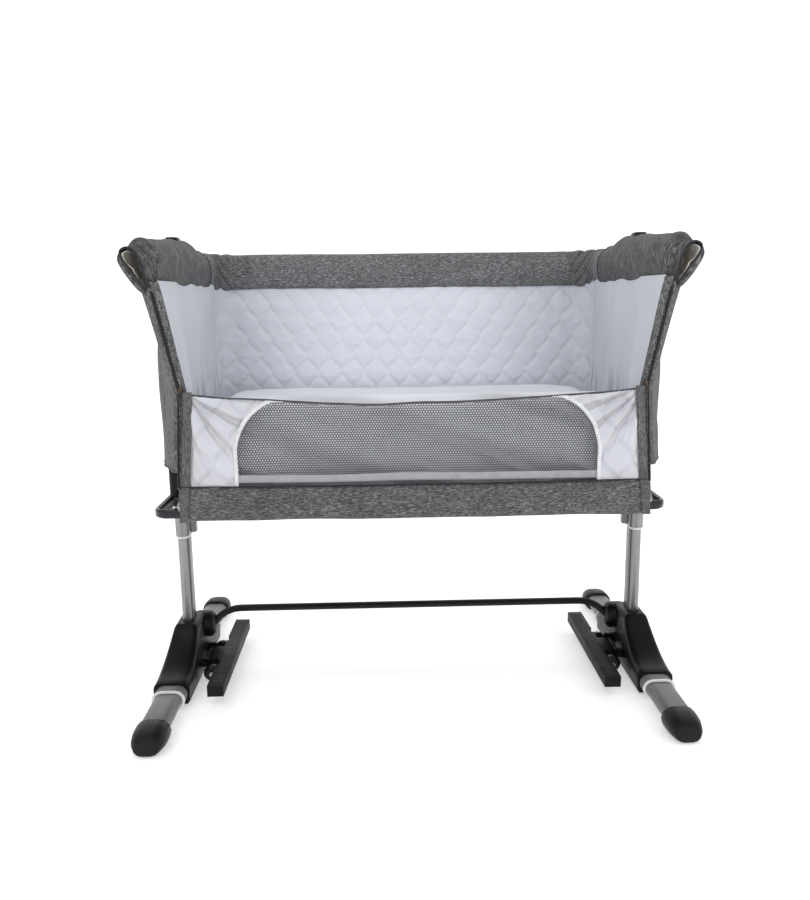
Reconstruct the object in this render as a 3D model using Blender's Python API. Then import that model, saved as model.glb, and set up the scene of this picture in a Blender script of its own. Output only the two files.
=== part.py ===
"""Bedside bassinet on a height-adjustable stand.

Units are metres, +Z is up, the floor is Z = 0 and the drop side faces -Y.
Left is -X and right is +X.  The origin is on the floor, midway between the four feet.
"""
import math

import bmesh
import bpy
from mathutils import Vector

# ---- driving dimensions -----------------------------------------------------------------
GAP = 0.0003                    # space left between neighbouring solids
POST_CLEARANCE = 0.0007         # room around the post in its socket
SIDES = {"left": -1, "right": 1}
ENDS = {"front": -1, "rear": 1}

# feet
FOOT_X = 0.445                  # middle of each foot from the middle of the bassinet
FOOT_Z = 0.0235                 # middle of the foot tube above the floor
FOOT_REACH = 0.330              # tip of each foot cap from the middle
CAP_MOUTH = 0.275               # where the cap starts
CAP_WIDTH, CAP_HEIGHT = 0.060, 0.041
TUBE_WIDTH, TUBE_HEIGHT, TUBE_WALL = 0.050, 0.026, 0.0018
TUBE_INNER_END = 0.088
FOOT_SLEEVE_WIDTH, FOOT_SLEEVE_HEIGHT, FOOT_SLEEVE_WALL = 0.058, 0.033, 0.0030
FOOT_SLEEVE_END = 0.172
BUSHING_THICKNESS = 0.004

# posts
POST_X = 0.440
POST_THICK, POST_DEEP, POST_WALL = 0.020, 0.048, 0.0018
POST_GROOVE_WIDTH, POST_GROOVE_DEPTH = 0.009, 0.0015
POST_BOTTOM, POST_TOP = 0.049, 0.430
SLEEVE_THICK, SLEEVE_DEEP, SLEEVE_WALL = 0.026, 0.055, 0.0022
SLEEVE_BOTTOM, SLEEVE_TOP = 0.285, 0.775
LOBE_REACH, LOBE_NEAR, LOBE_FAR = 0.0085, 0.004, 0.026

# housings and crossbar
HOUSING_HALF = 0.150            # front and rear ends of the boot
HOUSING_TOP, HOUSING_NECK = 0.112, 0.034
HOUSING_BASE = 0.0035
CROSSBAR_Y, CROSSBAR_Z, CROSSBAR_RADIUS = 0.064, 0.105, 0.0072
BOSS_X, BOSS_Y, BOSS_Z = 0.398, 0.040, 0.083  # shoulder that takes the crossbar
BOSS_RADIUS = 0.0265

# transport wheels
PEDAL_HINGE_X, PEDAL_HINGE_Z = 0.4063, 0.034
PEDAL_BAR_NEAR, PEDAL_BAR_FAR = 0.349, 0.3785
PEDAL_BAR_LOW, PEDAL_BAR_HIGH = 0.021, 0.042
PEDAL_BAR_HALF = 0.160
WHEEL_X, WHEEL_Z, WHEEL_Y = 0.3890, 0.0210, 0.058
WHEEL_RADIUS, WHEEL_WIDTH = 0.0160, 0.014
AXLE_RADIUS = 0.0028
WHEEL_WELL = 0.019              # notch in the pedal bar beside each wheel

# release gear
RING_LOW, RING_HIGH = 0.333, 0.350
RING_OUTER, RING_INNER, RING_HALF = 0.480, 0.400, 0.075
RING_BAR, RING_CORNER = 0.008, 0.028
PIN_Z, PIN_Y, PIN_RADIUS = 0.400, -0.012, 0.003

# tub frame
HEAD_LOW, HEAD_HIGH = 0.3625, 0.4585
RAIL_X, RAIL_Y, RAIL_Z, RAIL_RADIUS = 0.420, 0.272, 0.797, 0.010
RAIL_FRONT, RAIL_BEND, RAIL_WALL = -0.235, 0.060, 0.0012
FRAME_Z, FRAME_RADIUS = 0.468, 0.009
FRAME_X, FRAME_Y, FRAME_CORNER = 0.370, 0.248, 0.070
BOARD_LOW, BOARD_HIGH = 0.4775, 0.4865
MATTRESS_TOP = 0.538
BED_HALF_X, BED_HALF_Y, BED_CORNER = 0.381, 0.260, 0.080

# tub cloth
FOLD_Y, FOLD_Z = -0.288, 0.590  # the line that the drop side turns on
FOLD_HALF, PANEL_FOOT_HALF = 0.355, 0.371
LINER_X, LINER_FRONT_X, LINER_TURN, LINER_THICK = 0.400, 0.371, -0.050, 0.007
WALL_TOP = 0.742
SKIRT_LOW = 0.436
COVER_X, COVER_THICK = 0.463, 0.004
COVER_FRONT_X, COVER_FRONT_Y = 0.378, -0.284
COVER_BACK_Y = 0.286
SLEEVE_MOUTH = -0.285           # open front end of each side sleeve
SLEEVE_LAP = 0.003              # how far a side sleeve runs on past the corner bend
BAND_LOW, BAND_HIGH = 0.755, 0.825


# ---- small modelling kit ----------------------------------------------------------------
def clear_scene():
    for item in list(bpy.data.objects):
        bpy.data.objects.remove(item, do_unlink=True)


def make_material(name, color, roughness, metallic=0.0):
    material = bpy.data.materials.new(name)
    material.use_nodes = True
    shader = material.node_tree.nodes["Principled BSDF"]
    shader.inputs["Base Color"].default_value = (*color, 1.0)
    shader.inputs["Roughness"].default_value = roughness
    shader.inputs["Metallic"].default_value = metallic
    return material


def place(name, bm, material):
    """Closes the mesh's normals outwards and puts it in the scene as one object."""
    bmesh.ops.recalc_face_normals(bm, faces=bm.faces)
    mesh = bpy.data.meshes.new(name)
    bm.to_mesh(mesh)
    bm.free()
    mesh.materials.append(material)
    mesh.shade_smooth()
    mesh.set_sharp_from_angle(angle=math.radians(35))
    piece = bpy.data.objects.new(name, mesh)
    bpy.context.scene.collection.objects.link(piece)
    return piece


def modify(piece, cutter, operation):
    cutter.hide_render = True
    cutter.display_type = "WIRE"
    boolean = piece.modifiers.new(cutter.name, "BOOLEAN")
    boolean.operation = operation
    boolean.solver = "EXACT"
    boolean.object = cutter


def cut(piece, *cutters):
    for cutter in cutters:
        modify(piece, cutter, "DIFFERENCE")


def join(piece, *additions):
    for addition in additions:
        modify(piece, addition, "UNION")


def soften(piece, width, segments=2):
    bevel = piece.modifiers.new("edges", "BEVEL")
    bevel.width = width
    bevel.segments = segments
    bevel.limit_method = "ANGLE"


def stadium(long, short, arc_steps=6):
    """Flat oval with its long axis along the first coordinate."""
    radius = short / 2
    shift = long / 2 - radius
    points = []
    for centre, start in ((shift, -math.pi / 2), (-shift, math.pi / 2)):
        for step in range(arc_steps + 1):
            angle = start + math.pi * step / arc_steps
            points.append((centre + radius * math.cos(angle), radius * math.sin(angle)))
    return points


def circle(radius, steps=12):
    turns = [2 * math.pi * step / steps for step in range(steps)]
    return [(radius * math.cos(turn), radius * math.sin(turn)) for turn in turns]


def rounded_box(half_a, half_b, radius, arc_steps=4):
    points = []
    for quarter in range(4):
        sign_a = 1 if quarter in (0, 3) else -1
        sign_b = 1 if quarter in (0, 1) else -1
        for step in range(arc_steps + 1):
            angle = math.pi / 2 * (quarter + step / arc_steps)
            a = sign_a * (half_a - radius) + radius * math.cos(angle)
            b = sign_b * (half_b - radius) + radius * math.sin(angle)
            points.append((a, b))
    return points


def loft(name, rings, material):
    """Bridges rings of equal length and caps both ends."""
    bm = bmesh.new()
    loops = [[bm.verts.new(point) for point in ring] for ring in rings]
    count = len(rings[0])
    for first, second in zip(loops, loops[1:]):
        for index in range(count):
            after = (index + 1) % count
            bm.faces.new((first[index], first[after], second[after], second[index]))
    bm.faces.new(reversed(loops[0]))
    bm.faces.new(loops[-1])
    return place(name, bm, material)


def hollow_loft(name, outer_rings, inner_rings, material):
    """A tube wall: outer and inner skins joined by a rim at each end."""
    bm = bmesh.new()
    outer = [[bm.verts.new(point) for point in ring] for ring in outer_rings]
    inner = [[bm.verts.new(point) for point in ring] for ring in inner_rings]
    for loops in (outer, inner):
        for first, second in zip(loops, loops[1:]):
            for index in range(len(first)):
                after = (index + 1) % len(first)
                bm.faces.new((first[index], first[after], second[after], second[index]))
    for end in (0, -1):
        for index in range(len(outer[end])):
            after = (index + 1) % len(outer[end])
            bm.faces.new((outer[end][index], outer[end][after], inner[end][after], inner[end][index]))
    return place(name, bm, material)


def along_y(outline, y, x=0.0, z=0.0):
    return [(x + a, y, z + b) for a, b in outline]


def along_z(outline, z, x=0.0, y=0.0):
    """The outline's first coordinate runs along Y and its second along X."""
    return [(x + b, y + a, z) for a, b in outline]


def along_x(outline, x, y=0.0, z=0.0):
    return [(x, y + a, z + b) for a, b in outline]


def block(name, low, high, material, bevel=0.0):
    outline = [(low[0], low[1]), (high[0], low[1]), (high[0], high[1]), (low[0], high[1])]
    rings = [[(x, y, z) for x, y in outline] for z in (low[2], high[2])]
    piece = loft(name, rings, material)
    if bevel:
        soften(piece, bevel)
    return piece


def mirrored_block(name, side, low, high, material, bevel=0.0):
    """A block given for the right-hand side, placed on the side asked for."""
    near, far = sorted((side * low[0], side * high[0]))
    return block(name, (near, low[1], low[2]), (far, high[1], high[2]), material, bevel)


def path_frames(path):
    """Tangent and sideways direction at each point of a path, for sweeping a section."""
    frames = []
    for index, point in enumerate(path):
        before = path[max(index - 1, 0)]
        after = path[min(index + 1, len(path) - 1)]
        tangent = (Vector(after) - Vector(before)).normalized()
        frames.append((Vector(point), tangent))
    return frames


def sweep_rings(path, outline, up):
    rings = []
    for point, tangent in path_frames(path):
        across = tangent.cross(Vector(up)).normalized()
        rise = across.cross(tangent)
        rings.append([tuple(point + across * a + rise * b) for a, b in outline])
    return rings


def swept_tube(name, path, radius, wall, material, up=(0, 0, 1), steps=10):
    outer = sweep_rings(path, circle(radius, steps), up)
    inner = sweep_rings(path, circle(radius - wall, steps), up)
    return hollow_loft(name, outer, inner, material)


def arc(centre, radius, start, stop, steps):
    """Points on a level arc, from one angle to another in degrees."""
    points = []
    for step in range(steps + 1):
        angle = math.radians(start + (stop - start) * step / steps)
        points.append((centre[0] + radius * math.cos(angle),
                       centre[1] + radius * math.sin(angle), centre[2]))
    return points


def flip(path, side):
    return [(side * x, y, z) for x, y, z in path]


def turned(name, profile, centre, material, steps=16):
    """Turns a closed (distance along Y, radius) profile about an axis parallel to Y."""
    bm = bmesh.new()
    loops = []
    for step in range(steps):
        angle = 2 * math.pi * step / steps
        ring = []
        for along, radius in profile:
            x = centre[0] + radius * math.cos(angle)
            z = centre[2] + radius * math.sin(angle)
            ring.append(bm.verts.new((x, centre[1] + along, z)))
        loops.append(ring)
    for first, second in zip(loops, loops[1:] + loops[:1]):
        for index in range(len(profile)):
            after = (index + 1) % len(profile)
            bm.faces.new((first[index], first[after], second[after], second[index]))
    return place(name, bm, material)


# ---- stand ------------------------------------------------------------------------------
def foot_tubes(label, side, end, looks):
    x = side * FOOT_X
    ends = sorted((end * TUBE_INNER_END, end * (CAP_MOUTH + 0.020)))
    outer = stadium(TUBE_WIDTH, TUBE_HEIGHT)
    inner = stadium(TUBE_WIDTH - 2 * TUBE_WALL, TUBE_HEIGHT - 2 * TUBE_WALL)
    hollow_loft(f"foot_tube_{label}",
                [along_y(outer, y, x, FOOT_Z) for y in ends],
                [along_y(inner, y, x, FOOT_Z) for y in ends], looks["foot_tube"])


def foot_cap(label, side, end, looks):
    """Boot with a flat sole and a rounded toe, hollowed where the tube sits in it."""
    length = FOOT_REACH - CAP_MOUTH
    rings = []
    for reach in (0.0, 0.35, 0.60, 0.78, 0.90, 0.97, 1.0):
        taper = math.sqrt(max(1 - (max(reach - 0.35, 0) / 0.72) ** 2, 0.0))
        width = CAP_WIDTH * (0.45 + 0.55 * taper)
        height = CAP_HEIGHT * (0.40 + 0.60 * taper)
        sole = 0.006 * (1 - taper)
        y = end * (CAP_MOUTH + length * reach)
        rings.append(along_y(stadium(width, height), y, side * FOOT_X, sole + height / 2))
    cap = loft(f"foot_cap_{label}", rings, looks["rubber"])
    mouth = sorted((end * (CAP_MOUTH - 0.005), end * (CAP_MOUTH + 0.020 + GAP)))
    bore = stadium(TUBE_WIDTH + 2 * GAP, TUBE_HEIGHT + 2 * GAP)
    cut(cap, loft(f"cap_bore_{label}",
                  [along_y(bore, y, side * FOOT_X, FOOT_Z) for y in mouth], looks["rubber"]))


def foot_bushing(label, side, end, looks):
    near = end * (FOOT_SLEEVE_END + GAP)
    ends = sorted((near, near + end * BUSHING_THICKNESS))
    outer = stadium(FOOT_SLEEVE_WIDTH + 0.002, FOOT_SLEEVE_HEIGHT + 0.002)
    inner = stadium(TUBE_WIDTH + 2 * GAP, TUBE_HEIGHT + 2 * GAP)
    hollow_loft(f"foot_bushing_{label}",
                [along_y(outer, y, side * FOOT_X, FOOT_Z) for y in ends],
                [along_y(inner, y, side * FOOT_X, FOOT_Z) for y in ends], looks["cream_plastic"])


def foot_sleeve(label, side, looks):
    ends = (-FOOT_SLEEVE_END, FOOT_SLEEVE_END)
    wall = 2 * FOOT_SLEEVE_WALL
    outer = stadium(FOOT_SLEEVE_WIDTH, FOOT_SLEEVE_HEIGHT)
    inner = stadium(FOOT_SLEEVE_WIDTH - wall, FOOT_SLEEVE_HEIGHT - wall)
    hollow_loft(f"foot_sleeve_{label}",
                [along_y(outer, y, side * FOOT_X, FOOT_Z) for y in ends],
                [along_y(inner, y, side * FOOT_X, FOOT_Z) for y in ends], looks["foot_tube"])


def housing_section(y, side):
    """Cross-section of the boot: a flat base, and a crown that rises to the post's neck."""
    beyond = max(abs(y) - HOUSING_NECK, 0) / (HOUSING_HALF - HOUSING_NECK)
    rise = (1 - beyond) ** 2.2
    top = 0.045 + (HOUSING_TOP - 0.045) * rise
    half_low = FOOT_SLEEVE_WIDTH / 2 + 0.0035
    half_top = half_low - 0.009 * rise
    lean = (POST_X - FOOT_X) * rise
    corner = 0.012
    points = [(-half_low + 0.004, HOUSING_BASE), (half_low - 0.004, HOUSING_BASE),
              (half_low, HOUSING_BASE + 0.006), (half_low, 0.030)]
    for step in range(5):
        angle = math.pi / 2 * step / 4
        points.append((half_top - corner + corner * math.cos(angle) + lean,
                       top - corner + corner * math.sin(angle)))
    for step in range(5):
        angle = math.pi / 2 * (1 + step / 4)
        points.append((-half_top + corner + corner * math.cos(angle) + lean,
                       top - corner + corner * math.sin(angle)))
    points += [(-half_low, 0.030), (-half_low, HOUSING_BASE + 0.006)]
    return [(side * (FOOT_X + x), y, z) for x, z in points]


def base_housing(label, side, looks):
    stations = [-0.150, -0.135, -0.115, -0.095, -0.075, -0.058, -0.045, -HOUSING_NECK]
    stations += [-y for y in reversed(stations)]
    shell = loft(f"base_housing_{label}", [housing_section(y, side) for y in stations],
                 looks["black_plastic"])
    boss = []
    for inward, shrink in ((0.0, 0.0075), (0.003, 0.003), (0.008, 0.0), (0.034, 0.0)):
        boss.append(along_x(circle(BOSS_RADIUS - shrink, 20), side * (BOSS_X + inward), BOSS_Y, BOSS_Z))
    boss_solid = loft(f"boss_{label}", boss, looks["black_plastic"])
    lugs = []
    for number, y in enumerate((-0.038, 0.038)):
        lugs.append(mirrored_block(f"lug_{label}_{number}", side,
                                   (PEDAL_HINGE_X - 0.008, y - 0.0035, PEDAL_HINGE_Z - 0.009),
                                   (0.420, y + 0.0035, PEDAL_HINGE_Z + 0.009),
                                   looks["black_plastic"]))
    join(shell, boss_solid, *lugs)
    sleeve_hole = stadium(FOOT_SLEEVE_WIDTH + 2 * GAP, FOOT_SLEEVE_HEIGHT + 2 * GAP)
    post_hole = stadium(POST_DEEP + 2 * POST_CLEARANCE, POST_THICK + 2 * POST_CLEARANCE)
    passage = loft(f"sleeve_hole_{label}",
                   [along_y(sleeve_hole, y, side * FOOT_X, FOOT_Z) for y in (-0.20, 0.20)],
                   looks["black_plastic"])
    pocket = loft(f"post_hole_{label}",
                  [along_z(post_hole, z, side * POST_X) for z in (POST_BOTTOM - GAP, 0.15)],
                  looks["black_plastic"])
    hinge_bore = loft(f"hinge_bore_{label}",
                      [along_y(circle(0.0045), y, side * PEDAL_HINGE_X, PEDAL_HINGE_Z)
                       for y in (-0.06, 0.06)], looks["black_plastic"])
    bar_hole = sweep_rings(crossbar_end(side), circle(CROSSBAR_RADIUS + GAP, 12), (0, 1, 0))
    cut(shell, passage, pocket, hinge_bore,
        loft(f"bar_hole_{label}", bar_hole, looks["black_plastic"]))


def crossbar_end(side):
    """The bent end of the crossbar: out along X, forward and down into the boss."""
    straight = 0.348
    points = []
    for step in range(8):
        turn = math.radians(62 * step / 7)
        x = straight + 0.052 * math.sin(turn)
        drop = 0.052 * (1 - math.cos(turn))
        points.append((side * x, CROSSBAR_Y - 0.55 * drop, CROSSBAR_Z - 0.55 * drop))
    last = Vector(points[-1])
    heading = (last - Vector(points[-2])).normalized()
    points.append(tuple(last + heading * 0.022))
    return points


def crossbar(looks):
    path = list(reversed(crossbar_end(-1))) + crossbar_end(1)
    swept_tube("crossbar", path, CROSSBAR_RADIUS, 0.0014, looks["black_metal"], (0, 1, 0))


def post_outline(side):
    """Oval with a shallow groove down the face that looks inboard."""
    outline = stadium(POST_DEEP, POST_THICK)
    half = POST_THICK / 2
    groove_near, groove_far = -0.016, -0.016 + POST_GROOVE_WIDTH
    groove = [(groove_near, half), (groove_near + 0.001, half - POST_GROOVE_DEPTH),
              (groove_far - 0.001, half - POST_GROOVE_DEPTH), (groove_far, half)]
    middle = len(outline) // 2
    outline = outline[:middle] + list(reversed(groove)) + outline[middle:]
    return [(along, -side * across) for along, across in outline]


def post_inner(label, side, looks):
    outer = post_outline(side)
    shrink_along = (POST_DEEP - 2 * POST_WALL) / POST_DEEP
    inner = []
    for along, across in outer:
        limit = POST_THICK / 2 - POST_GROOVE_DEPTH - POST_WALL
        inner.append((along * shrink_along, max(-limit, min(limit, across * 0.82))))
    ends = (POST_BOTTOM, POST_TOP)
    hollow_loft(f"post_inner_{label}",
                [along_z(outer, z, side * POST_X) for z in ends],
                [along_z(inner, z, side * POST_X) for z in ends], looks["aluminium"])


def pedal_spring(label, side, looks):
    turns, wire, radius = 3.5, 0.0006, 0.0052
    first = 0.0425
    path = []
    steps = int(turns * 10)
    for step in range(steps + 1):
        angle = 2 * math.pi * step / 10
        path.append((side * PEDAL_HINGE_X + radius * math.cos(angle), first + 0.0016 * step / 10,
                     PEDAL_HINGE_Z + radius * math.sin(angle)))
    loft(f"pedal_spring_{label}", sweep_rings(path, circle(wire, 5), (0, 1, 0)), looks["steel"])


def pedal(label, side, looks):
    """Foot bar, bridge that carries the axle, and the barrel it turns on."""
    bar = mirrored_block(f"pedal_{label}", side, (PEDAL_BAR_NEAR, -PEDAL_BAR_HALF, PEDAL_BAR_LOW),
                         (PEDAL_BAR_FAR, PEDAL_BAR_HALF, PEDAL_BAR_HIGH), looks["black_plastic"])
    bridge = mirrored_block(f"bridge_{label}", side, (PEDAL_BAR_FAR - 0.004, -0.030, 0.016),
                            (PEDAL_HINGE_X - 0.003, 0.030, PEDAL_HINGE_Z + 0.003),
                            looks["black_plastic"])
    barrel = loft(f"barrel_{label}",
                  [along_y(circle(0.0041), y, side * PEDAL_HINGE_X, PEDAL_HINGE_Z)
                   for y in (-0.0475, 0.0485)], looks["black_plastic"])
    axle_bore = loft(f"axle_bore_{label}",
                     [along_y(circle(AXLE_RADIUS + GAP), y, side * WHEEL_X, WHEEL_Z)
                      for y in (-0.05, 0.05)], looks["black_plastic"])
    wells = []
    for end_label, end in ENDS.items():
        ends = sorted(end * (WHEEL_Y + reach) for reach in (-WHEEL_WELL / 2, WHEEL_WELL / 2))
        wells.append(mirrored_block(f"well_{end_label}_{label}", side,
                                    (WHEEL_X - WHEEL_RADIUS - 0.0012, ends[0], 0.010),
                                    (PEDAL_HINGE_X, ends[1], 0.050), looks["black_plastic"]))
    join(bar, bridge, barrel)
    cut(bar, axle_bore, *wells)
    soften(bar, 0.0015, 1)


def wheel_gear(label, side, looks):
    ends = WHEEL_Y + WHEEL_WIDTH / 2 + 0.0005
    head, head_radius = 0.0025, 0.0048
    profile = [(-ends - head, 0.0004), (-ends - head, head_radius), (-ends, head_radius),
               (-ends, AXLE_RADIUS), (ends, AXLE_RADIUS), (ends, head_radius),
               (ends + head, head_radius), (ends + head, 0.0004)]
    turned(f"wheel_axle_{label}", profile, (side * WHEEL_X, 0, WHEEL_Z), looks["steel"], 12)
    half, bore, rim = WHEEL_WIDTH / 2, AXLE_RADIUS + GAP, WHEEL_RADIUS
    for end_label, end in ENDS.items():
        tread = [(-half, bore), (-half, rim - 0.003), (-half + 0.003, rim), (half - 0.003, rim),
                 (half, rim - 0.003), (half, bore)]
        turned(f"wheel_{end_label}_{label}", tread, (side * WHEEL_X, end * WHEEL_Y, WHEEL_Z),
               looks["black_plastic"])


# ---- bassinet frame ---------------------------------------------------------------------
def sleeve_outline(side, grow=0.0):
    """Outer section of the post sleeve: an oval with a second lobe on its inboard face."""
    half = SLEEVE_THICK / 2 + grow
    outline = stadium(SLEEVE_DEEP + 2 * grow, SLEEVE_THICK + 2 * grow)
    reach = half + LOBE_REACH
    low, high = LOBE_NEAR - grow, LOBE_FAR + grow
    lobe = [(low, half), (low + 0.001, reach - 0.003), (low + 0.004, reach),
            (high - 0.006, reach), (high - 0.002, reach - 0.003), (high - 0.001, half - 0.004)]
    middle = len(outline) // 2
    rear_end = [point for point in outline[:middle] if point[1] < half - 0.007]
    outline = rear_end + list(reversed(lobe)) + outline[middle:]
    return [(along, -side * across) for along, across in outline]


def post_sleeve(label, side, looks):
    solid = loft(f"post_sleeve_{label}",
                 [along_z(sleeve_outline(side), z, side * POST_X) for z in (SLEEVE_BOTTOM, SLEEVE_TOP)],
                 looks["aluminium"])
    channel = stadium(SLEEVE_DEEP - 2 * SLEEVE_WALL, SLEEVE_THICK - 2 * SLEEVE_WALL)
    bore = loft(f"channel_{label}",
                [along_z(channel, z, side * POST_X) for z in (SLEEVE_BOTTOM - 0.01, SLEEVE_TOP + 0.01)],
                looks["aluminium"])
    hole = loft(f"pin_hole_{label}",
                [along_x(circle(PIN_RADIUS + GAP, 12), side * x, PIN_Y, PIN_Z)
                 for x in (0.420, POST_X - 0.004)], looks["aluminium"])
    cut(solid, bore, hole)


def sleeve_bushing(label, side, looks):
    outer = stadium(SLEEVE_DEEP - 0.001, SLEEVE_THICK - 0.001)
    inner = stadium(POST_DEEP + 2 * GAP, POST_THICK + 2 * GAP)
    ends = (SLEEVE_BOTTOM - GAP - 0.004, SLEEVE_BOTTOM - GAP)
    hollow_loft(f"sleeve_bushing_{label}",
                [along_z(outer, z, side * POST_X) for z in ends],
                [along_z(inner, z, side * POST_X) for z in ends], looks["cream_plastic"])


def post_head(label, side, looks):
    """Clamps the lower frame to the sleeve and guides the release ring and lock pin."""
    middle_x, half_x, half_y = 0.4310, 0.0265, 0.036
    rings = []
    for z, grow in ((HEAD_LOW, -0.003), (HEAD_LOW + 0.004, 0), (HEAD_HIGH - 0.004, 0),
                    (HEAD_HIGH, -0.003)):
        outline = rounded_box(half_y + grow, half_x + grow, 0.016)
        rings.append(along_z(outline, z, side * middle_x))
    head = loft(f"post_head_{label}", rings, looks["black_plastic"])
    arm = mirrored_block(f"head_arm_{label}", side, (0.356, -0.030, 0.425),
                         (0.410, 0.030, FRAME_Z - FRAME_RADIUS - GAP), looks["black_plastic"])
    join(head, arm)
    passage = loft(f"head_passage_{label}",
                   [along_z(sleeve_outline(side, GAP), z, side * POST_X) for z in (0.34, 0.48)],
                   looks["black_plastic"])
    pin_bore = loft(f"pin_bore_{label}",
                    [along_x(circle(PIN_RADIUS + GAP, 12), side * x, PIN_Y, PIN_Z)
                     for x in (0.398, 0.436)], looks["black_plastic"])
    pockets = []
    for number, y in enumerate((-0.028, 0.028)):
        pockets.append(mirrored_block(f"ring_pocket_{label}_{number}", side,
                                      (0.4030, y - 0.0046, 0.34), (0.4125, y + 0.0046, 0.392),
                                      looks["black_plastic"]))
    cut(head, passage, pin_bore, *pockets)


def release_ring(label, side, looks):
    """Rounded loop round the post, with two guide legs that rise into the head."""
    middle = (RING_OUTER + RING_INNER) / 2
    half_x = (RING_OUTER - RING_INNER) / 2
    outer = rounded_box(RING_HALF, half_x, RING_CORNER, 6)
    inner = rounded_box(RING_HALF - RING_BAR, half_x - RING_BAR, RING_CORNER - RING_BAR, 6)
    levels = (RING_LOW, RING_LOW + 0.003, RING_HIGH - 0.003, RING_HIGH)
    insets = (0.0025, 0.0, 0.0, 0.0025)
    outer_rings = []
    inner_rings = []
    for z, inset in zip(levels, insets):
        shrink = [(a * (1 - inset / RING_HALF), b * (1 - inset / half_x)) for a, b in outer]
        swell = [(a * (1 + inset / RING_HALF), b * (1 + inset / half_x)) for a, b in inner]
        outer_rings.append(along_z(shrink, z, side * middle))
        inner_rings.append(along_z(swell, z, side * middle))
    ring = hollow_loft(f"release_ring_{label}", outer_rings, inner_rings, looks["black_plastic"])
    legs = []
    for number, y in enumerate((-0.028, 0.028)):
        legs.append(mirrored_block(f"ring_leg_{label}_{number}", side,
                                   (0.4050, y - 0.004, RING_LOW + 0.005), (0.4120, y + 0.004, 0.376),
                                   looks["black_plastic"]))
    join(ring, *legs)


def lock_pin(label, side, looks):
    tip = POST_X - POST_THICK / 2 + 0.0007
    reaches = ((0.4135, PIN_RADIUS), (tip - 0.001, PIN_RADIUS), (tip, PIN_RADIUS - 0.001))
    loft(f"lock_pin_{label}",
         [along_x(circle(radius, 12), side * x, PIN_Y, PIN_Z) for x, radius in reaches], looks["steel"])


def rail_joint(label, side, looks):
    """Moulding on top of the post that grips the side rail, with a nub on its crown."""
    low = SLEEVE_TOP + GAP
    rings = []
    for z, grow in ((low, 0), (0.812, 0), (0.820, -0.005), (0.826, -0.010), (0.838, -0.011), (0.843, -0.013)):
        outline = rounded_box(0.030 + grow, 0.0235 + grow, 0.009)
        rings.append(along_z(outline, z, side * 0.4285))
    body = loft(f"rail_joint_{label}", rings, looks["black_plastic"])
    grip = loft(f"rail_grip_{label}",
                [along_y(circle(RAIL_RADIUS + 3 * GAP), y, side * RAIL_X, RAIL_Z) for y in (-0.05, 0.05)],
                looks["black_plastic"])
    cut(body, grip)


def rail_path():
    """Right side rail: straight back along the side, round the corner, on to the back rail."""
    path = [(RAIL_X, y, RAIL_Z) for y in (RAIL_FRONT, -0.10, 0.05, 0.16)]
    corner = (RAIL_X - RAIL_BEND, RAIL_Y - RAIL_BEND, RAIL_Z)
    path += arc(corner, RAIL_BEND, 0, 90, 8)
    path.append((RAIL_X - RAIL_BEND - 0.020, RAIL_Y, RAIL_Z))
    return path


def upper_rails(looks):
    for label, side in SIDES.items():
        swept_tube(f"side_rail_{label}", flip(rail_path(), side), RAIL_RADIUS, RAIL_WALL, looks["steel"])
    end = RAIL_X - RAIL_BEND - 0.020 - GAP
    swept_tube("back_rail", [(x, RAIL_Y, RAIL_Z) for x in (-end, end)], RAIL_RADIUS, RAIL_WALL,
               looks["steel"])


def lower_frame(looks):
    """One bent tube whose two ends meet at the middle of the back."""
    x, y, bend = FRAME_X, FRAME_Y, FRAME_CORNER
    path = [(0.002, y, FRAME_Z)]
    path += arc((x - bend, y - bend, FRAME_Z), bend, 90, 0, 5)
    path += arc((x - bend, -y + bend, FRAME_Z), bend, 0, -90, 5)
    path += arc((-x + bend, -y + bend, FRAME_Z), bend, -90, -180, 5)
    path += arc((-x + bend, y - bend, FRAME_Z), bend, 180, 90, 5)
    path.append((-0.002, y, FRAME_Z))
    swept_tube("lower_frame", path, FRAME_RADIUS, 0.0012, looks["steel"], steps=8)


# ---- cloth and padding ------------------------------------------------------------------
def slab(name, half_x, half_y, corner, low, high, material, middle_y=0.0):
    outline = rounded_box(half_x, half_y, corner)
    loft(name, [[(a, middle_y + b, z) for a, b in outline] for z in (low, high)], material)


def bed(looks):
    slab("base_board", BED_HALF_X - 0.003, BED_HALF_Y - 0.003, BED_CORNER, BOARD_LOW, BOARD_HIGH,
         looks["board"])
    outline = rounded_box(BED_HALF_X, BED_HALF_Y, BED_CORNER, 5)
    rings = []
    for z, inset in ((BOARD_HIGH + GAP, 0.006), (0.498, 0.0), (0.528, 0.0), (MATTRESS_TOP, 0.008)):
        rings.append([(a * (1 - inset / BED_HALF_X), b * (1 - inset / BED_HALF_Y), z) for a, b in outline])
    loft("mattress", rings, looks["white_cloth"])


def walls(looks):
    for label, side in SIDES.items():
        inner = [(LINER_X, 0.2675), (LINER_X, LINER_TURN), (LINER_FRONT_X, -0.262)]
        outline = inner + [(x + LINER_THICK, y) for x, y in reversed(inner)]
        loft(f"liner_{label}", [[(side * x, y, z) for x, y in outline] for z in (0.470, WALL_TOP)],
             looks["white_cloth"])
    block("back_wall", (-0.398, 0.268, SKIRT_LOW), (0.398, 0.282, WALL_TOP), looks["white_cloth"])
    block("front_wall", (-COVER_FRONT_X + 0.003, -0.284, SKIRT_LOW),
          (COVER_FRONT_X - 0.003, -0.274, FOLD_Z - 0.006), looks["white_cloth"])


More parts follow.
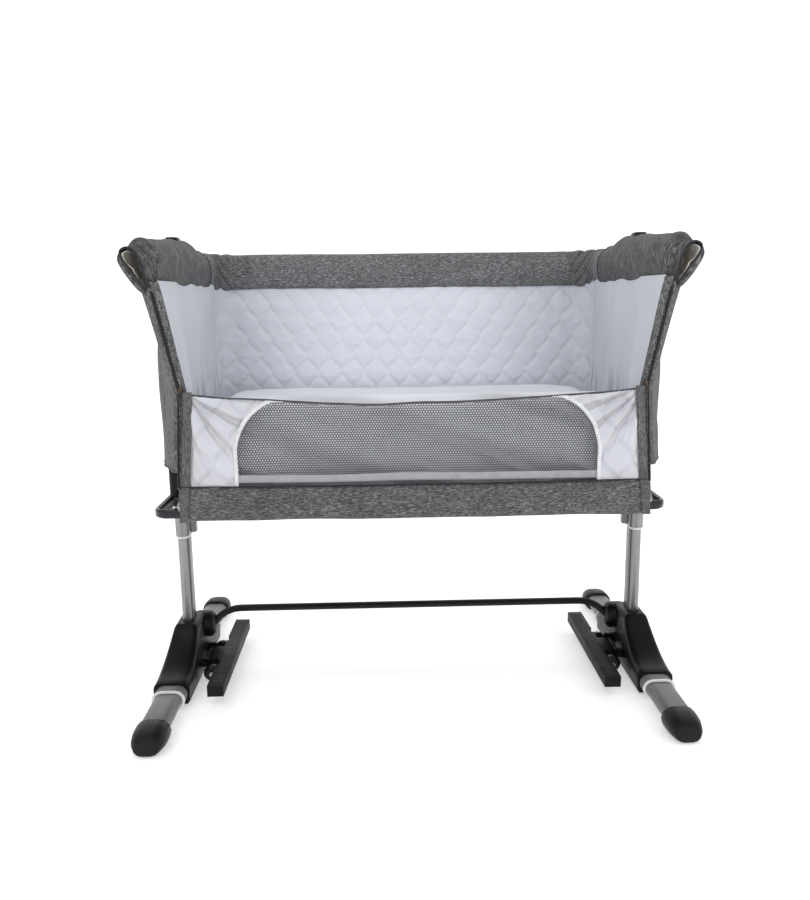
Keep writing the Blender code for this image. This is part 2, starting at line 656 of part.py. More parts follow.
def offset_corner(before, corner, after, distance):
    """The corner moved inwards so that both of its sides shift by the distance."""
    first = (Vector(corner) - Vector(before)).normalized()
    second = (Vector(after) - Vector(corner)).normalized()
    inward_first = Vector((-first.y, first.x))
    inward_second = Vector((-second.y, second.x))
    spread = 1 + inward_first.dot(inward_second)
    return Vector(corner) + (inward_first + inward_second) * (distance / spread)


def rounded_path(corners, radii, steps=4):
    """A polyline whose inner corners are rounded, each to its own radius."""
    points = [tuple(corners[0])]
    for before, corner, after, radius in zip(corners, corners[1:], corners[2:], radii):
        corner = Vector(corner)
        to_before = (Vector(before) - corner).normalized()
        to_after = (Vector(after) - corner).normalized()
        half = to_before.angle(to_after) / 2
        reach = radius / math.tan(half)
        centre = corner + (to_before + to_after).normalized() * (radius / math.sin(half))
        first = corner + to_before * reach - centre
        turn = first.angle_signed(corner + to_after * reach - centre)
        for step in range(steps + 1):
            angle = -turn * step / steps
            points.append((centre.x + first.x * math.cos(angle) - first.y * math.sin(angle),
                           centre.y + first.x * math.sin(angle) + first.y * math.cos(angle)))
    points.append(tuple(corners[-1]))
    return points


def cover_plan(inset):
    """Plan of the side skirt: drawn from the front corner out over the post to the back corner."""
    corners = [(COVER_FRONT_X, COVER_FRONT_Y), (0.388, COVER_FRONT_Y), (COVER_X, -0.024),
               (COVER_X, 0.022), (0.424, COVER_BACK_Y), (0.402, COVER_BACK_Y)]
    if inset:
        inner = [offset_corner(*trio, inset) for trio in zip(corners, corners[1:], corners[2:])]
        first = (corners[0][0], corners[0][1] + inset)
        last = (corners[-1][0], corners[-1][1] - inset)
        corners = [first] + inner + [last]
    radii = [radius - inset for radius in (0.012, 0.020, 0.040, 0.018)]
    return rounded_path(corners, radii)


def side_cover(label, side, looks):
    outline = cover_plan(0.0) + list(reversed(cover_plan(COVER_THICK)))
    loft(f"side_cover_{label}", [[(side * x, y, z) for x, y in outline] for z in (SKIRT_LOW, 0.738)],
         looks["heather_cloth"])


def teardrop(shrink):
    """Section of the side sleeve: a round crown over the rail, drawn in to its lower seam."""
    half_width, crown, foot = 0.028 - shrink, 0.025 - shrink, 0.054 - shrink
    points = []
    for step in range(9):
        angle = math.pi * step / 8
        points.append((half_width * math.cos(angle), crown * math.sin(angle)))
    points += [(-half_width * 0.92, -foot * 0.40), (-half_width * 0.55, -foot * 0.85),
               (0.0, -foot), (half_width * 0.55, -foot * 0.85), (half_width * 0.92, -foot * 0.40)]
    return points


def rail_sleeves(looks):
    for label, side in SIDES.items():
        last = (RAIL_X - RAIL_BEND - SLEEVE_LAP, RAIL_Y, RAIL_Z)
        path = [(RAIL_X, SLEEVE_MOUTH, RAIL_Z)] + rail_path()[1:-1] + [last]
        path = flip(path, side)
        outer = sweep_rings(path, teardrop(0.0), (0, 0, 1))
        inner = sweep_rings(path, teardrop(0.004), (0, 0, 1))
        sleeve = hollow_loft(f"side_rail_sleeve_{label}", outer, inner, looks["heather_cloth"])
        opening = mirrored_block(f"joint_opening_{label}", side, (0.400, -0.031, 0.735),
                                 (0.4525, 0.031, 0.860), looks["heather_cloth"])
        cut(sleeve, opening)
    end = RAIL_X - RAIL_BEND - SLEEVE_LAP - 2 * GAP
    middle = (BAND_LOW + BAND_HIGH) / 2
    outline = rounded_box(0.018, (BAND_HIGH - BAND_LOW) / 2, 0.016)
    band = loft("back_rail_sleeve", [along_x(outline, x, RAIL_Y, middle) for x in (-end, end)],
                looks["heather_cloth"])
    bore = loft("band_bore",
                [along_x(circle(RAIL_RADIUS + 2 * GAP, 12), x, RAIL_Y, RAIL_Z) for x in (-0.5, 0.5)],
                looks["heather_cloth"])
    cut(band, bore)


def drop_side(looks):
    """The front panel hangs outside the tub from the fold, with its rail in the lower band."""
    rail_y, rail_z = FOLD_Y - 0.011, 0.414
    thin_front, thin_back = FOLD_Y - 0.014, FOLD_Y - 0.005
    top, bottom = FOLD_Z - 0.003, 0.390
    corners = [(FOLD_HALF, top), (PANEL_FOOT_HALF, bottom), (-PANEL_FOOT_HALF, bottom), (-FOLD_HALF, top)]
    panel = loft("front_panel", [[(x, y, z) for x, z in corners] for y in (thin_front, thin_back)],
                 looks["white_cloth"])
    section = rounded_box(0.0125, 0.029, 0.011)
    band = loft("panel_band",
                [along_x(section, x, rail_y, rail_z) for x in (-PANEL_FOOT_HALF, PANEL_FOOT_HALF)],
                looks["heather_cloth"])
    join(panel, band)
    bore = loft("panel_bore",
                [along_x(circle(0.008 + 2 * GAP, 12), x, rail_y, rail_z) for x in (-0.5, 0.5)],
                looks["heather_cloth"])
    cut(panel, bore)
    swept_tube("front_rail", [(x, rail_y, rail_z) for x in (-0.374, 0.374)], 0.008, RAIL_WALL,
               looks["steel"])


def zip_slider(label, side, looks):
    """Slider and hanging pull, flat against the front corner at the foot of its zip."""
    outline = [(0.3590, 0.600), (0.3665, 0.600), (0.3665, 0.590), (0.3650, 0.588), (0.3650, 0.572),
               (0.3605, 0.572), (0.3605, 0.588), (0.3590, 0.590)]
    loft(f"zip_slider_{label}", [[(side * x, y, z) for x, z in outline] for y in (-0.2895, -0.2865)],
         looks["steel"])


def build():
    clear_scene()
    looks = {
        "heather_cloth": make_material("heather_cloth", (0.13, 0.13, 0.135), 0.9),
        "white_cloth": make_material("white_cloth", (0.74, 0.76, 0.80), 0.9),
        "black_plastic": make_material("black_plastic", (0.018, 0.019, 0.021), 0.45),
        "black_metal": make_material("black_metal", (0.015, 0.015, 0.017), 0.4),
        "rubber": make_material("rubber", (0.022, 0.022, 0.022), 0.7),
        "cream_plastic": make_material("cream_plastic", (0.72, 0.73, 0.66), 0.5),
        "foot_tube": make_material("foot_tube", (0.22, 0.22, 0.225), 0.4, 0.7),
        "aluminium": make_material("aluminium", (0.42, 0.42, 0.42), 0.35, 0.9),
        "steel": make_material("steel", (0.5, 0.5, 0.5), 0.3, 1.0),
        "board": make_material("board", (0.10, 0.10, 0.10), 0.8),
    }
    for label, side in SIDES.items():
        for end_label, end in ENDS.items():
            foot_tubes(f"{end_label}_{label}", side, end, looks)
            foot_cap(f"{end_label}_{label}", side, end, looks)
            foot_bushing(f"{end_label}_{label}", side, end, looks)
        foot_sleeve(label, side, looks)
        base_housing(label, side, looks)
        post_inner(label, side, looks)
        pedal_spring(label, side, looks)
        pedal(label, side, looks)
        wheel_gear(label, side, looks)
        post_sleeve(label, side, looks)
        sleeve_bushing(label, side, looks)
        post_head(label, side, looks)
        release_ring(label, side, looks)
        lock_pin(label, side, looks)
        rail_joint(label, side, looks)
        side_cover(label, side, looks)
        zip_slider(label, side, looks)
    crossbar(looks)
    upper_rails(looks)
    lower_frame(looks)
    bed(looks)
    walls(looks)
    rail_sleeves(looks)
    drop_side(looks)


build()
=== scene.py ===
"""Looks of the bedside bassinet: cloth, mesh, mouldings and metal, with its studio and camera.

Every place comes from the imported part's own boxes.  Metres, +Z up, the drop side faces -Y.
"""
import math

import bpy
import numpy as np
from mathutils import Matrix, Vector


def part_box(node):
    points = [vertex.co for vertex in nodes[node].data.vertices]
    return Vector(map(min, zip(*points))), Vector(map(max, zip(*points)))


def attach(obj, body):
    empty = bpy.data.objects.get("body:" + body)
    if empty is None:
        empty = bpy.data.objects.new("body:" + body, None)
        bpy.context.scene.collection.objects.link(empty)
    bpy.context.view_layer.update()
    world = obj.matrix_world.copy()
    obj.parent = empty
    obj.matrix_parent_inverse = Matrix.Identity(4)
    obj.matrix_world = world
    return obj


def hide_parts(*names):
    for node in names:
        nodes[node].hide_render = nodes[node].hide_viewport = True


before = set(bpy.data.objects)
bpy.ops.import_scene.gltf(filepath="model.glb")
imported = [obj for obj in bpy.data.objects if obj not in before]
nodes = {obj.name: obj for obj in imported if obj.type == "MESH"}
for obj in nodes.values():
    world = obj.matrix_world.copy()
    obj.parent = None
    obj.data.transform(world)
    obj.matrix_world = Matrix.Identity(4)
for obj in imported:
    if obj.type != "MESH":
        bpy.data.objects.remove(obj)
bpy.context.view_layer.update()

SIDES = {"left": -1, "right": 1}
ENDS = ("front", "rear")

# quilting
CELL_WIDTH, CELL_STEP = 0.0508, 0.0368    # an ogee cell's width, and the rise from row to row
STITCH_HALF = 0.0010

RAIL_RADIUS = 0.010
CLOTH_THICKNESS = 0.0022
BACK_HALF = 0.402                         # half the width of the outside back
WALL_HALF = 0.352                         # half the width of the white wall behind the drop side

# ---- where things are --------------------------------------------------------------------
rail_low, rail_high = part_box("back_rail")
RAIL_Y = (rail_low.y + rail_high.y) / 2
RAIL_Z = (rail_low.z + rail_high.z) / 2
RAIL_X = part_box("side_rail_right")[1].x - RAIL_RADIUS
RAIL_BEND = 0.060
MATTRESS_LOW, MATTRESS_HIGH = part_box("mattress")
WALL_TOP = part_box("back_wall")[1].z
SKIRT_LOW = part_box("side_cover_right")[0].z
BACK_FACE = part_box("back_wall")[0].y
LINER_BACK_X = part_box("liner_right")[1].x - 0.007
COVER_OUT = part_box("side_cover_right")[1].x
COVER_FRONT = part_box("side_cover_right")[0].y
COVER_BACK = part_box("side_cover_right")[1].y
PANEL_LOW, PANEL_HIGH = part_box("front_panel")
FOLD_Z = PANEL_HIGH.z + 0.003
BAND_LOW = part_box("back_rail_sleeve")[0]
ZIP_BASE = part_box("zip_slider_right")[0].x + 0.004
FRONT_RAIL_Z = (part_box("front_rail")[0].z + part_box("front_rail")[1].z) / 2
FRONT_RAIL_Y = (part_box("front_rail")[0].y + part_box("front_rail")[1].y) / 2


# ---- looks -------------------------------------------------------------------------------
class Look:
    """A node-built material: helpers add the nodes and join them to its shader."""

    def __init__(self, name, roughness, metallic=0.0, **sockets):
        self.material = bpy.data.materials.new(name)
        self.material.use_nodes = True
        self.tree = self.material.node_tree
        self.shader = self.tree.nodes["Principled BSDF"]
        self.shader.inputs["Roughness"].default_value = roughness
        self.shader.inputs["Metallic"].default_value = metallic
        for key, value in sockets.items():
            self.shader.inputs[key.replace("_", " ")].default_value = value

    def link(self, source, target):
        self.tree.links.new(source, target)

    def node(self, kind, **settings):
        made = self.tree.nodes.new(kind)
        for key, value in settings.items():
            setattr(made, key, value)
        return made

    def place(self, scale=(1.0, 1.0, 1.0), attribute=None):
        """Position on the object, or along the cloth where it carries that attribute."""
        if attribute:
            source = self.node("ShaderNodeAttribute", attribute_name=attribute).outputs["Vector"]
        else:
            source = self.node("ShaderNodeTexCoord").outputs["Object"]
        mapping = self.node("ShaderNodeMapping")
        mapping.inputs["Scale"].default_value = scale
        self.link(source, mapping.inputs["Vector"])
        return mapping.outputs["Vector"]

    def noise(self, vector, detail=3.0, scale=1.0, roughness=0.55):
        made = self.node("ShaderNodeTexNoise")
        made.inputs["Scale"].default_value = scale
        made.inputs["Detail"].default_value = detail
        made.inputs["Roughness"].default_value = roughness
        self.link(vector, made.inputs["Vector"])
        return made.outputs["Fac"]

    def math(self, operation, first, second=None):
        made = self.node("ShaderNodeMath", operation=operation)
        for socket, value in zip(made.inputs, (first, second)):
            if value is None:
                continue
            if isinstance(value, (int, float)):
                socket.default_value = value
            else:
                self.link(value, socket)
        return made.outputs["Value"]

    def spread(self, source, low, high, to_low=0.0, to_high=1.0):
        """The source's low to high mapped to a new range, clamped."""
        made = self.node("ShaderNodeMapRange")
        made.inputs["From Min"].default_value = low
        made.inputs["From Max"].default_value = high
        made.inputs["To Min"].default_value = to_low
        made.inputs["To Max"].default_value = to_high
        self.link(source, made.inputs["Value"])
        return made.outputs["Result"]

    def ramp(self, source, *stops):
        """Colours at places from 0 to 1."""
        made = self.node("ShaderNodeValToRGB")
        band = made.color_ramp
        while len(band.elements) < len(stops):
            band.elements.new(0.5)
        for element, (place, color) in zip(band.elements, stops):
            element.position = place
            element.color = (*color, 1.0)
        self.link(source, made.inputs["Fac"])
        return made.outputs["Color"]

    def blotched(self, noise, first, second):
        """Two colours, mixed by a noise."""
        return self.ramp(self.spread(noise, 0.3, 0.7), (0.0, first), (1.0, second))

    def parts(self, vector):
        """The X, Y and Z of a vector."""
        split = self.node("ShaderNodeSeparateXYZ")
        self.link(vector, split.inputs[0])
        return split.outputs

    def depth(self):
        """Weight of the painted light that the cloth layer carries in Z, from 0 to 1: painted shade on
        cloth, a painted highlight on the net.
        """
        return self.parts(self.place(attribute="cloth"))["Z"]

    def mix(self, factor, first, second):
        made = self.node("ShaderNodeMix", data_type="RGBA")
        sockets = (made.inputs[0], made.inputs[6], made.inputs[7])
        for socket, value in zip(sockets, (factor, first, second)):
            if isinstance(value, (int, float)):
                socket.default_value = value
            elif isinstance(value, tuple):
                socket.default_value = (*value, 1.0)
            else:
                self.link(value, socket)
        return made.outputs[2]

    def color(self, source):
        self.link(source, self.shader.inputs["Base Color"])

    def rough(self, source, low, high):
        self.link(self.spread(source, 0.3, 0.7, low, high), self.shader.inputs["Roughness"])

    def bump(self, *layers):
        """Bumps chained from coarse to fine: (height, strength, distance in metres)."""
        before = None
        for height, strength, distance in layers:
            made = self.node("ShaderNodeBump")
            made.inputs["Strength"].default_value = strength
            made.inputs["Distance"].default_value = distance
            self.link(height, made.inputs["Height"])
            if before:
                self.link(before, made.inputs["Normal"])
            before = made.outputs["Normal"]
        self.link(before, self.shader.inputs["Normal"])


def grey(value, blue=1.0):
    return (value, value * (1 + 0.25 * (blue - 1)), value * blue)


def darker(color, share):
    return tuple(channel * share for channel in color)


def heather(name, yarn_scale, cross_scale, tones, patch=16.0, shares=(0.72, 0.24, 0.10),
            window=(0.40, 0.68), relief=(0.35, 0.0012), with_painted_shade=False):
    """Melange cloth: long pale and dark yarns, crossed by others, in faint patches.

    Tones are its darkest, middle and palest greys; shares say how much each of the three noises adds.
    """
    look = Look(name, 0.95, Sheen_Weight=0.06, Sheen_Roughness=0.6, Specular_IOR_Level=0.2)
    yarn = look.noise(look.place(yarn_scale), 3.0, roughness=0.7)
    crossing = look.noise(look.place(cross_scale), 2.0)
    patches = look.noise(look.place(), 3.0, patch)
    mixed = look.math("ADD", look.math("MULTIPLY", yarn, shares[0]),
                      look.math("MULTIPLY", crossing, shares[1]))
    mixed = look.math("ADD", mixed, look.math("MULTIPLY", patches, shares[2]))
    dark, middle, pale = tones
    stops = ((0.0, grey(dark, 1.03)), (0.5, grey(middle, 1.02)), (1.0, grey(pale, 1.02)))
    tone = look.ramp(look.spread(mixed, *window), *stops)
    # painted shade in the folds, darkest where the cloth layer's weight is high
    if with_painted_shade:
        tone = look.mix(look.depth(), tone, grey(dark * 0.45))
    look.color(tone)
    weave = look.noise(look.place(), 2.0, 900.0)
    look.bump((yarn, *relief), (weave, 0.25, 0.0006))
    return look.material


def straight_heather(name, along, tones=(0.038, 0.110, 0.31), with_painted_shade=False):
    """Heather whose yarns run along one axis of the object."""
    fine, long = 720.0, 130.0
    yarn, cross = [fine] * 3, [long * 1.6] * 3
    yarn[along] = long
    cross[along] = fine * 1.1
    return heather(name, yarn, cross, tones, with_painted_shade=with_painted_shade)


def ring_heather():
    """Heather whose yarns run round the side sleeve."""
    fleck = 420.0
    return heather("heather_round_sleeve", (90.0, 480.0, 90.0), (fleck, fleck, fleck),
                   (0.023, 0.082, 0.28), 18.0, (0.68, 0.26, 0.12), (0.38, 0.70), (0.4, 0.0014))


def white_cloth(name, tint, wrinkle=0.35, with_painted_shade=False):
    """Soft microfibre: faint mottling, small creases and a fine knit."""
    look = Look(name, 0.88, Sheen_Weight=0.2, Sheen_Roughness=0.5)
    tone = look.blotched(look.noise(look.place(), 4.0, 22.0), darker(tint, 0.95), tint)
    # painted shade in folds and gathers, from the cloth layer's weight
    if with_painted_shade:
        tone = look.mix(look.depth(), tone, darker(tint, 0.62))
    look.color(tone)
    crease = look.noise(look.place((26.0, 26.0, 9.0)), 4.0)
    knit = look.noise(look.place(), 1.0, 1100.0)
    look.bump((crease, wrinkle, 0.004), (knit, 0.18, 0.0005))
    return look.material


def ogee_distance(look, across, up):
    """How far a point of the cloth is from the nearest line of ogee quilting."""
    phase = look.math("MULTIPLY", up, math.pi / CELL_STEP)
    swing = look.math("MULTIPLY", look.math("COSINE", phase), CELL_WIDTH / 4)
    slope = look.math("MULTIPLY", look.math("SINE", phase), math.pi * CELL_WIDTH / 4 / CELL_STEP)
    steep = look.math("SQRT", look.math("ADD", look.math("MULTIPLY", slope, slope), 1.0))
    even = look.math("PINGPONG", look.math("SUBTRACT", across, swing), CELL_WIDTH / 2)
    odd = look.math("PINGPONG", look.math("ADD", look.math("ADD", across, swing), CELL_WIDTH / 2),
                    CELL_WIDTH / 2)
    return look.math("DIVIDE", look.math("MINIMUM", even, odd), steep)


def quilt_cloth(name, tint, thread, valley_shade_strength=0.10):
    """White cloth with paler stitching along the quilt lines and a dotted thread, painted shade in the
    valleys beside the lines, and painted shade from the cloth layer's weight.
    """
    look = Look(name, 0.88, Sheen_Weight=0.2, Sheen_Roughness=0.5)
    place = look.parts(look.place(attribute="cloth"))
    distance = ogee_distance(look, place["X"], place["Y"])
    base = look.blotched(look.noise(look.place(), 4.0, 24.0), darker(tint, 0.95), tint)
    stitched = look.spread(distance, STITCH_HALF * 0.7, STITCH_HALF * 1.6, 1.0, 0.0)
    # painted shade in the soft valleys beside each stitch line
    painted_valley_shade = look.spread(distance, STITCH_HALF, STITCH_HALF * 6, valley_shade_strength, 0.0)
    base = look.mix(painted_valley_shade, base, darker(tint, 0.62))
    sewn = look.mix(look.math("MULTIPLY", stitched, 0.8), base, thread)
    # painted shade where the cloth layer's weight is high: folds, and the quilt's turned ends
    look.color(look.mix(place["Z"], sewn, darker(tint, 0.58)))
    crease = look.noise(look.place((70.0, 70.0, 26.0)), 3.0)
    knit = look.noise(look.place(), 1.0, 1100.0)
    beat = look.math("SINE", look.math("MULTIPLY", place["Y"], 2600.0))
    dots = look.math("MULTIPLY", stitched, beat)
    look.bump((crease, 0.3, 0.003), (dots, 0.25, 0.0004), (knit, 0.18, 0.0005))
    return look.material


def plain_weave(name, color, roughness=0.85, spacing=1500.0):
    """Narrow woven tape or net yarn: crossed ribs over a mottled colour."""
    look = Look(name, roughness)
    look.color(look.blotched(look.noise(look.place(), 3.0, 120.0), darker(color, 0.82), color))
    place = look.parts(look.place())
    ribs = [look.math("SINE", look.math("MULTIPLY", place[axis], spacing)) for axis in "XZ"]
    look.bump((look.math("MULTIPLY", *ribs), 0.3, 0.0005))
    return look.material


def moulding(name, color, low, high, grain=420.0, strength=0.16, coat=0.0):
    """Moulded plastic: fine spark-eroded grain, uneven gloss and faint scuffs."""
    look = Look(name, (low + high) / 2, Coat_Weight=coat, Coat_Roughness=0.25, Specular_IOR_Level=0.17)
    cloud = look.noise(look.place(), 4.0, 18.0)
    scuff = look.noise(look.place((30.0, 160.0, 90.0)), 4.0)
    pale = tuple(channel * 1.5 + 0.004 for channel in color)
    stops = ((0.0, color), (0.7, tuple(channel * 1.12 for channel in color)), (1.0, pale))
    look.color(look.ramp(look.spread(scuff, 0.25, 0.8), *stops))
    look.rough(cloud, low, high)
    pits = look.noise(look.place(), 2.0, grain)
    look.bump((pits, strength, 0.0004))
    return look.material


def net_yarn():
    """Dark knitted yarn, with a painted highlight in the slanting bands where the net is drawn out."""
    look = Look("net_yarn", 0.7)
    dark = look.blotched(look.noise(look.place(), 3.0, 120.0), (0.020, 0.020, 0.026), (0.036, 0.036, 0.044))
    # painted highlight: the yarn turns paler where the cloth layer's weight is high
    look.color(look.mix(look.depth(), dark, (0.14, 0.14, 0.155)))
    knot = look.noise(look.place(), 2.0, 1400.0)
    look.bump((knot, 0.3, 0.0004))
    return look.material


def post_metal(name, half):
    """Extruded post: bright front and back, painted shade on its darker sides and a dark painted shade line
    in the recess at each corner.
    """
    color = (0.31, 0.31, 0.305)
    look = Look(name, 0.32, 0.85)
    lines = look.noise(look.place((900.0, 900.0, 6.0)), 3.0)
    cloud = look.noise(look.place(), 3.0, 20.0)
    bright = look.blotched(lines, darker(color, 0.88), color)
    across = look.math("ABSOLUTE", look.parts(look.place())["Y"])
    # painted shade: the sides, which face away from the light, are darkened
    side = look.spread(across, half - 0.0075, half - 0.0040, 1.0, 0.0)
    tone = look.mix(side, bright, darker(color, 0.52))
    # painted shade: a dark line down the recess near each corner
    groove_shade = look.spread(look.math("ABSOLUTE", look.math("SUBTRACT", across, half - 0.0085)),
                         0.0012, 0.0030, 1.0, 0.0)
    look.color(look.mix(groove_shade, tone, darker(color, 0.16)))
    look.rough(cloud, 0.26, 0.38)
    look.bump((lines, 0.12, 0.0002))
    return look.material


def drawn_metal(name, color, low, high, along, metallic=1.0):
    """Extruded or drawn metal: long die lines, soft blotches in the gloss."""
    look = Look(name, (low + high) / 2, metallic)
    scale = [900.0] * 3
    scale[along] = 6.0
    lines = look.noise(look.place(scale), 3.0)
    cloud = look.noise(look.place(), 3.0, 20.0)
    look.color(look.blotched(lines, darker(color, 0.88), color))
    look.rough(cloud, low, high)
    look.bump((lines, 0.12, 0.0002))
    return look.material


LOOKS = {
    "heather_x": straight_heather("heather_along_x", 0),
    "heather_z": straight_heather("heather_along_z", 2),
    "heather_front": straight_heather("heather_front_band", 0, (0.034, 0.098, 0.275)),
    # painted light: a paler copy of the heather for the back band
    "heather_band": straight_heather("heather_back_band_lit", 0, (0.058, 0.168, 0.44)),
    # painted shade in the corner's slanting folds; tones lifted part way towards the back band's painted
    # light
    "heather_corner_fold_shaded": straight_heather("heather_corner_fold_shaded", 0, (0.046, 0.136, 0.37), True),
    "heather_y_ring": ring_heather(),
    # painted shade: a darker copy of the white cloth for the inner side walls, with painted shade in its
    # folds
    "lining": white_cloth("side_lining_shaded_cloth", (0.61, 0.63, 0.68), 0.7, True),
    "sheet": white_cloth("mattress_cloth", (0.90, 0.925, 0.96), 0.25),
    "white": white_cloth("white_cloth", (0.74, 0.75, 0.80)),
    "wall": white_cloth("front_wall_cloth", (0.80, 0.81, 0.86), 0.5, True),
    "quilt": quilt_cloth("back_quilt_cloth", (0.89, 0.905, 0.975), (0.935, 0.95, 1.0)),
    # painted shade: a darker copy of the quilt cloth for the drop side's quilting
    "panel_quilt": quilt_cloth("panel_quilt_shaded_cloth", (0.62, 0.625, 0.665), (0.64, 0.65, 0.69), 0.22),
    "mouth": white_cloth("sleeve_lining_cloth", (0.98, 0.94, 0.88)),
    "net": net_yarn(),
    "binding": plain_weave("white_binding", (0.78, 0.79, 0.82)),
    "strap": plain_weave("grey_strap", (0.39, 0.395, 0.415)),
    "piping": plain_weave("grey_piping", (0.085, 0.085, 0.09)),
    "rim": plain_weave("dark_piping", (0.022, 0.022, 0.025)),
    "tape": straight_heather("heather_tape", 2, (0.05, 0.105, 0.22)),
    "zip": moulding("zip_coil", (0.02, 0.02, 0.022), 0.35, 0.55),
    "brass": drawn_metal("antique_brass", (0.12, 0.095, 0.07), 0.25, 0.45, 2),
    "black": moulding("satin_black_moulding", (0.0040, 0.0045, 0.0052), 0.30, 0.44),
    "ring": moulding("glossy_black_moulding", (0.012, 0.014, 0.018), 0.16, 0.30, coat=0.4),
    "pedal": moulding("grained_black_moulding", (0.0060, 0.0062, 0.0068), 0.46, 0.62, 260.0, 0.35),
    "rubber": moulding("black_rubber", (0.0095, 0.0098, 0.0100), 0.34, 0.50, 300.0, 0.2),
    "wheel": moulding("wheel_moulding", (0.006, 0.006, 0.0065), 0.24, 0.38, coat=0.2),
    "cream": moulding("cream_moulding", (0.74, 0.76, 0.70), 0.40, 0.55, 380.0, 0.1),
    "bar": moulding("black_powder_coat", (0.010, 0.010, 0.012), 0.30, 0.42, 700.0, 0.25),
    "foot": drawn_metal("silver_grey_lacquer", (0.19, 0.195, 0.195), 0.40, 0.52, 1, 0.3),
    "post": post_metal("post_aluminium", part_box("post_inner_right")[1].y),
    "post_sleeve": post_metal("post_sleeve_aluminium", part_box("post_sleeve_right")[1].y),
    "steel": drawn_metal("plated_steel", (0.45, 0.45, 0.46), 0.25, 0.40, 0),
    "board": plain_weave("board_cloth", (0.045, 0.045, 0.047), 0.9, 900.0),
}


# ---- mesh helpers ------------------------------------------------------------------------
def soft_noise(u, v, seed=0):
    """Smooth random height from -1 to 1 that changes over about one unit."""
    table = np.random.default_rng(seed).uniform(-1, 1, (64, 64))
    column, row = np.floor(u).astype(int), np.floor(v).astype(int)
    right, up = u - column, v - row
    right = right * right * (3 - 2 * right)
    up = up * up * (3 - 2 * up)
    low = table[column % 64, row % 64] * (1 - right) + table[(column + 1) % 64, row % 64] * right
    high = (table[column % 64, (row + 1) % 64] * (1 - right)
            + table[(column + 1) % 64, (row + 1) % 64] * right)
    return low * (1 - up) + high * up


def ease(value, low, high):
    t = np.clip((value - low) / (high - low), 0, 1)
    return t * t * (3 - 2 * t)


def quilt_puff(across, up, height):
    """Padding that rises between the ogee quilt lines."""
    swing = CELL_WIDTH / 4 * np.cos(math.pi * up / CELL_STEP)
    slope = math.pi * CELL_WIDTH / 4 / CELL_STEP * np.sin(math.pi * up / CELL_STEP)
    half = CELL_WIDTH / 2

    def fold(value):
        return np.abs((value + half) % CELL_WIDTH - half)

    distance = np.minimum(fold(across - swing), fold(across + swing + half)) / np.sqrt(1 + slope ** 2)
    return height * (1 - np.exp(-np.maximum(distance - 0.0006, 0) / 0.0055))


def squared(angle, half_x, half_y, power_x, power_y):
    """A loop between an ellipse and a rectangle: the smaller a power, the squarer the loop."""
    return (half_x * np.sign(np.cos(angle)) * np.abs(np.cos(angle)) ** power_x,
            half_y * np.sign(np.sin(angle)) * np.abs(np.sin(angle)) ** power_y)


def band_section(angle):
    """Flat-sided section of the back band: out from the rail's line, and up from it."""
    out, up = squared(angle, 0.0185, 0.0365, 0.6, 0.7)
    return out, up - 0.0115


def add_object(name, data):
    made = bpy.data.objects.new(name, data)
    bpy.context.scene.collection.objects.link(made)
    return made


def object_from(name, vertices, faces, look):
    mesh = bpy.data.meshes.new(name)
    mesh.from_pydata([tuple(v) for v in vertices], [], [tuple(f) for f in faces])
    mesh.materials.append(LOOKS[look])
    mesh.shade_smooth()
    mesh.update()
    return add_object(name, mesh)


def unit(vectors):
    return vectors / np.linalg.norm(vectors, axis=-1, keepdims=True)


def run_along(line):
    """Distance of each point of a line from its first, along the line."""
    return np.concatenate([[0], np.cumsum(np.linalg.norm(np.diff(line, axis=0), axis=1))])


def full_turn(count):
    return np.linspace(0, 2 * math.pi, count, endpoint=False)


def quads(rows, columns, wrap):
    index = np.arange(rows * columns).reshape(rows, columns)
    after = np.roll(index, -1, axis=1)
    last = columns if wrap else columns - 1
    return np.stack([index[:-1, :last], after[:-1, :last], after[1:, :last], index[1:, :last]],
                    axis=-1).reshape(-1, 4)


def closed_faces(rows, columns):
    """Faces round a tube of rings, with a cap over its first and its last ring."""
    last = (rows - 1) * columns
    caps = [tuple(range(columns))[::-1], tuple(range(last, last + columns))]
    return [tuple(face) for face in quads(rows, columns, True)] + caps


def settle(made, body):
    """A finished piece moves with its body."""
    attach(made, body)
    return made


def add_cloth_layer(made, values):
    """Stores, at each point, its place along the cloth and the weight of its painted light: painted shade
    on cloth, a painted highlight on the net.
    """
    layer = made.data.attributes.new("cloth", "FLOAT_VECTOR", "POINT")
    layer.data.foreach_set("vector", values.reshape(-1).astype(np.float32))


def surface(name, points, look, body, wrap=False, thickness=0.0, side=0.0, cloth=None):
    """A surface through rows of points, given a thickness, riding on a body."""
    rows, columns = points.shape[:2]
    made = object_from(name, points.reshape(-1, 3), quads(rows, columns, wrap), look)
    if cloth is not None:
        add_cloth_layer(made, cloth)
    if thickness:
        solid = made.modifiers.new("thickness", "SOLIDIFY")
        solid.thickness = thickness
        solid.offset = side
    return settle(made, body)


def flipped(points, side):
    out = points.copy()
    out[..., 0] *= side
    return out


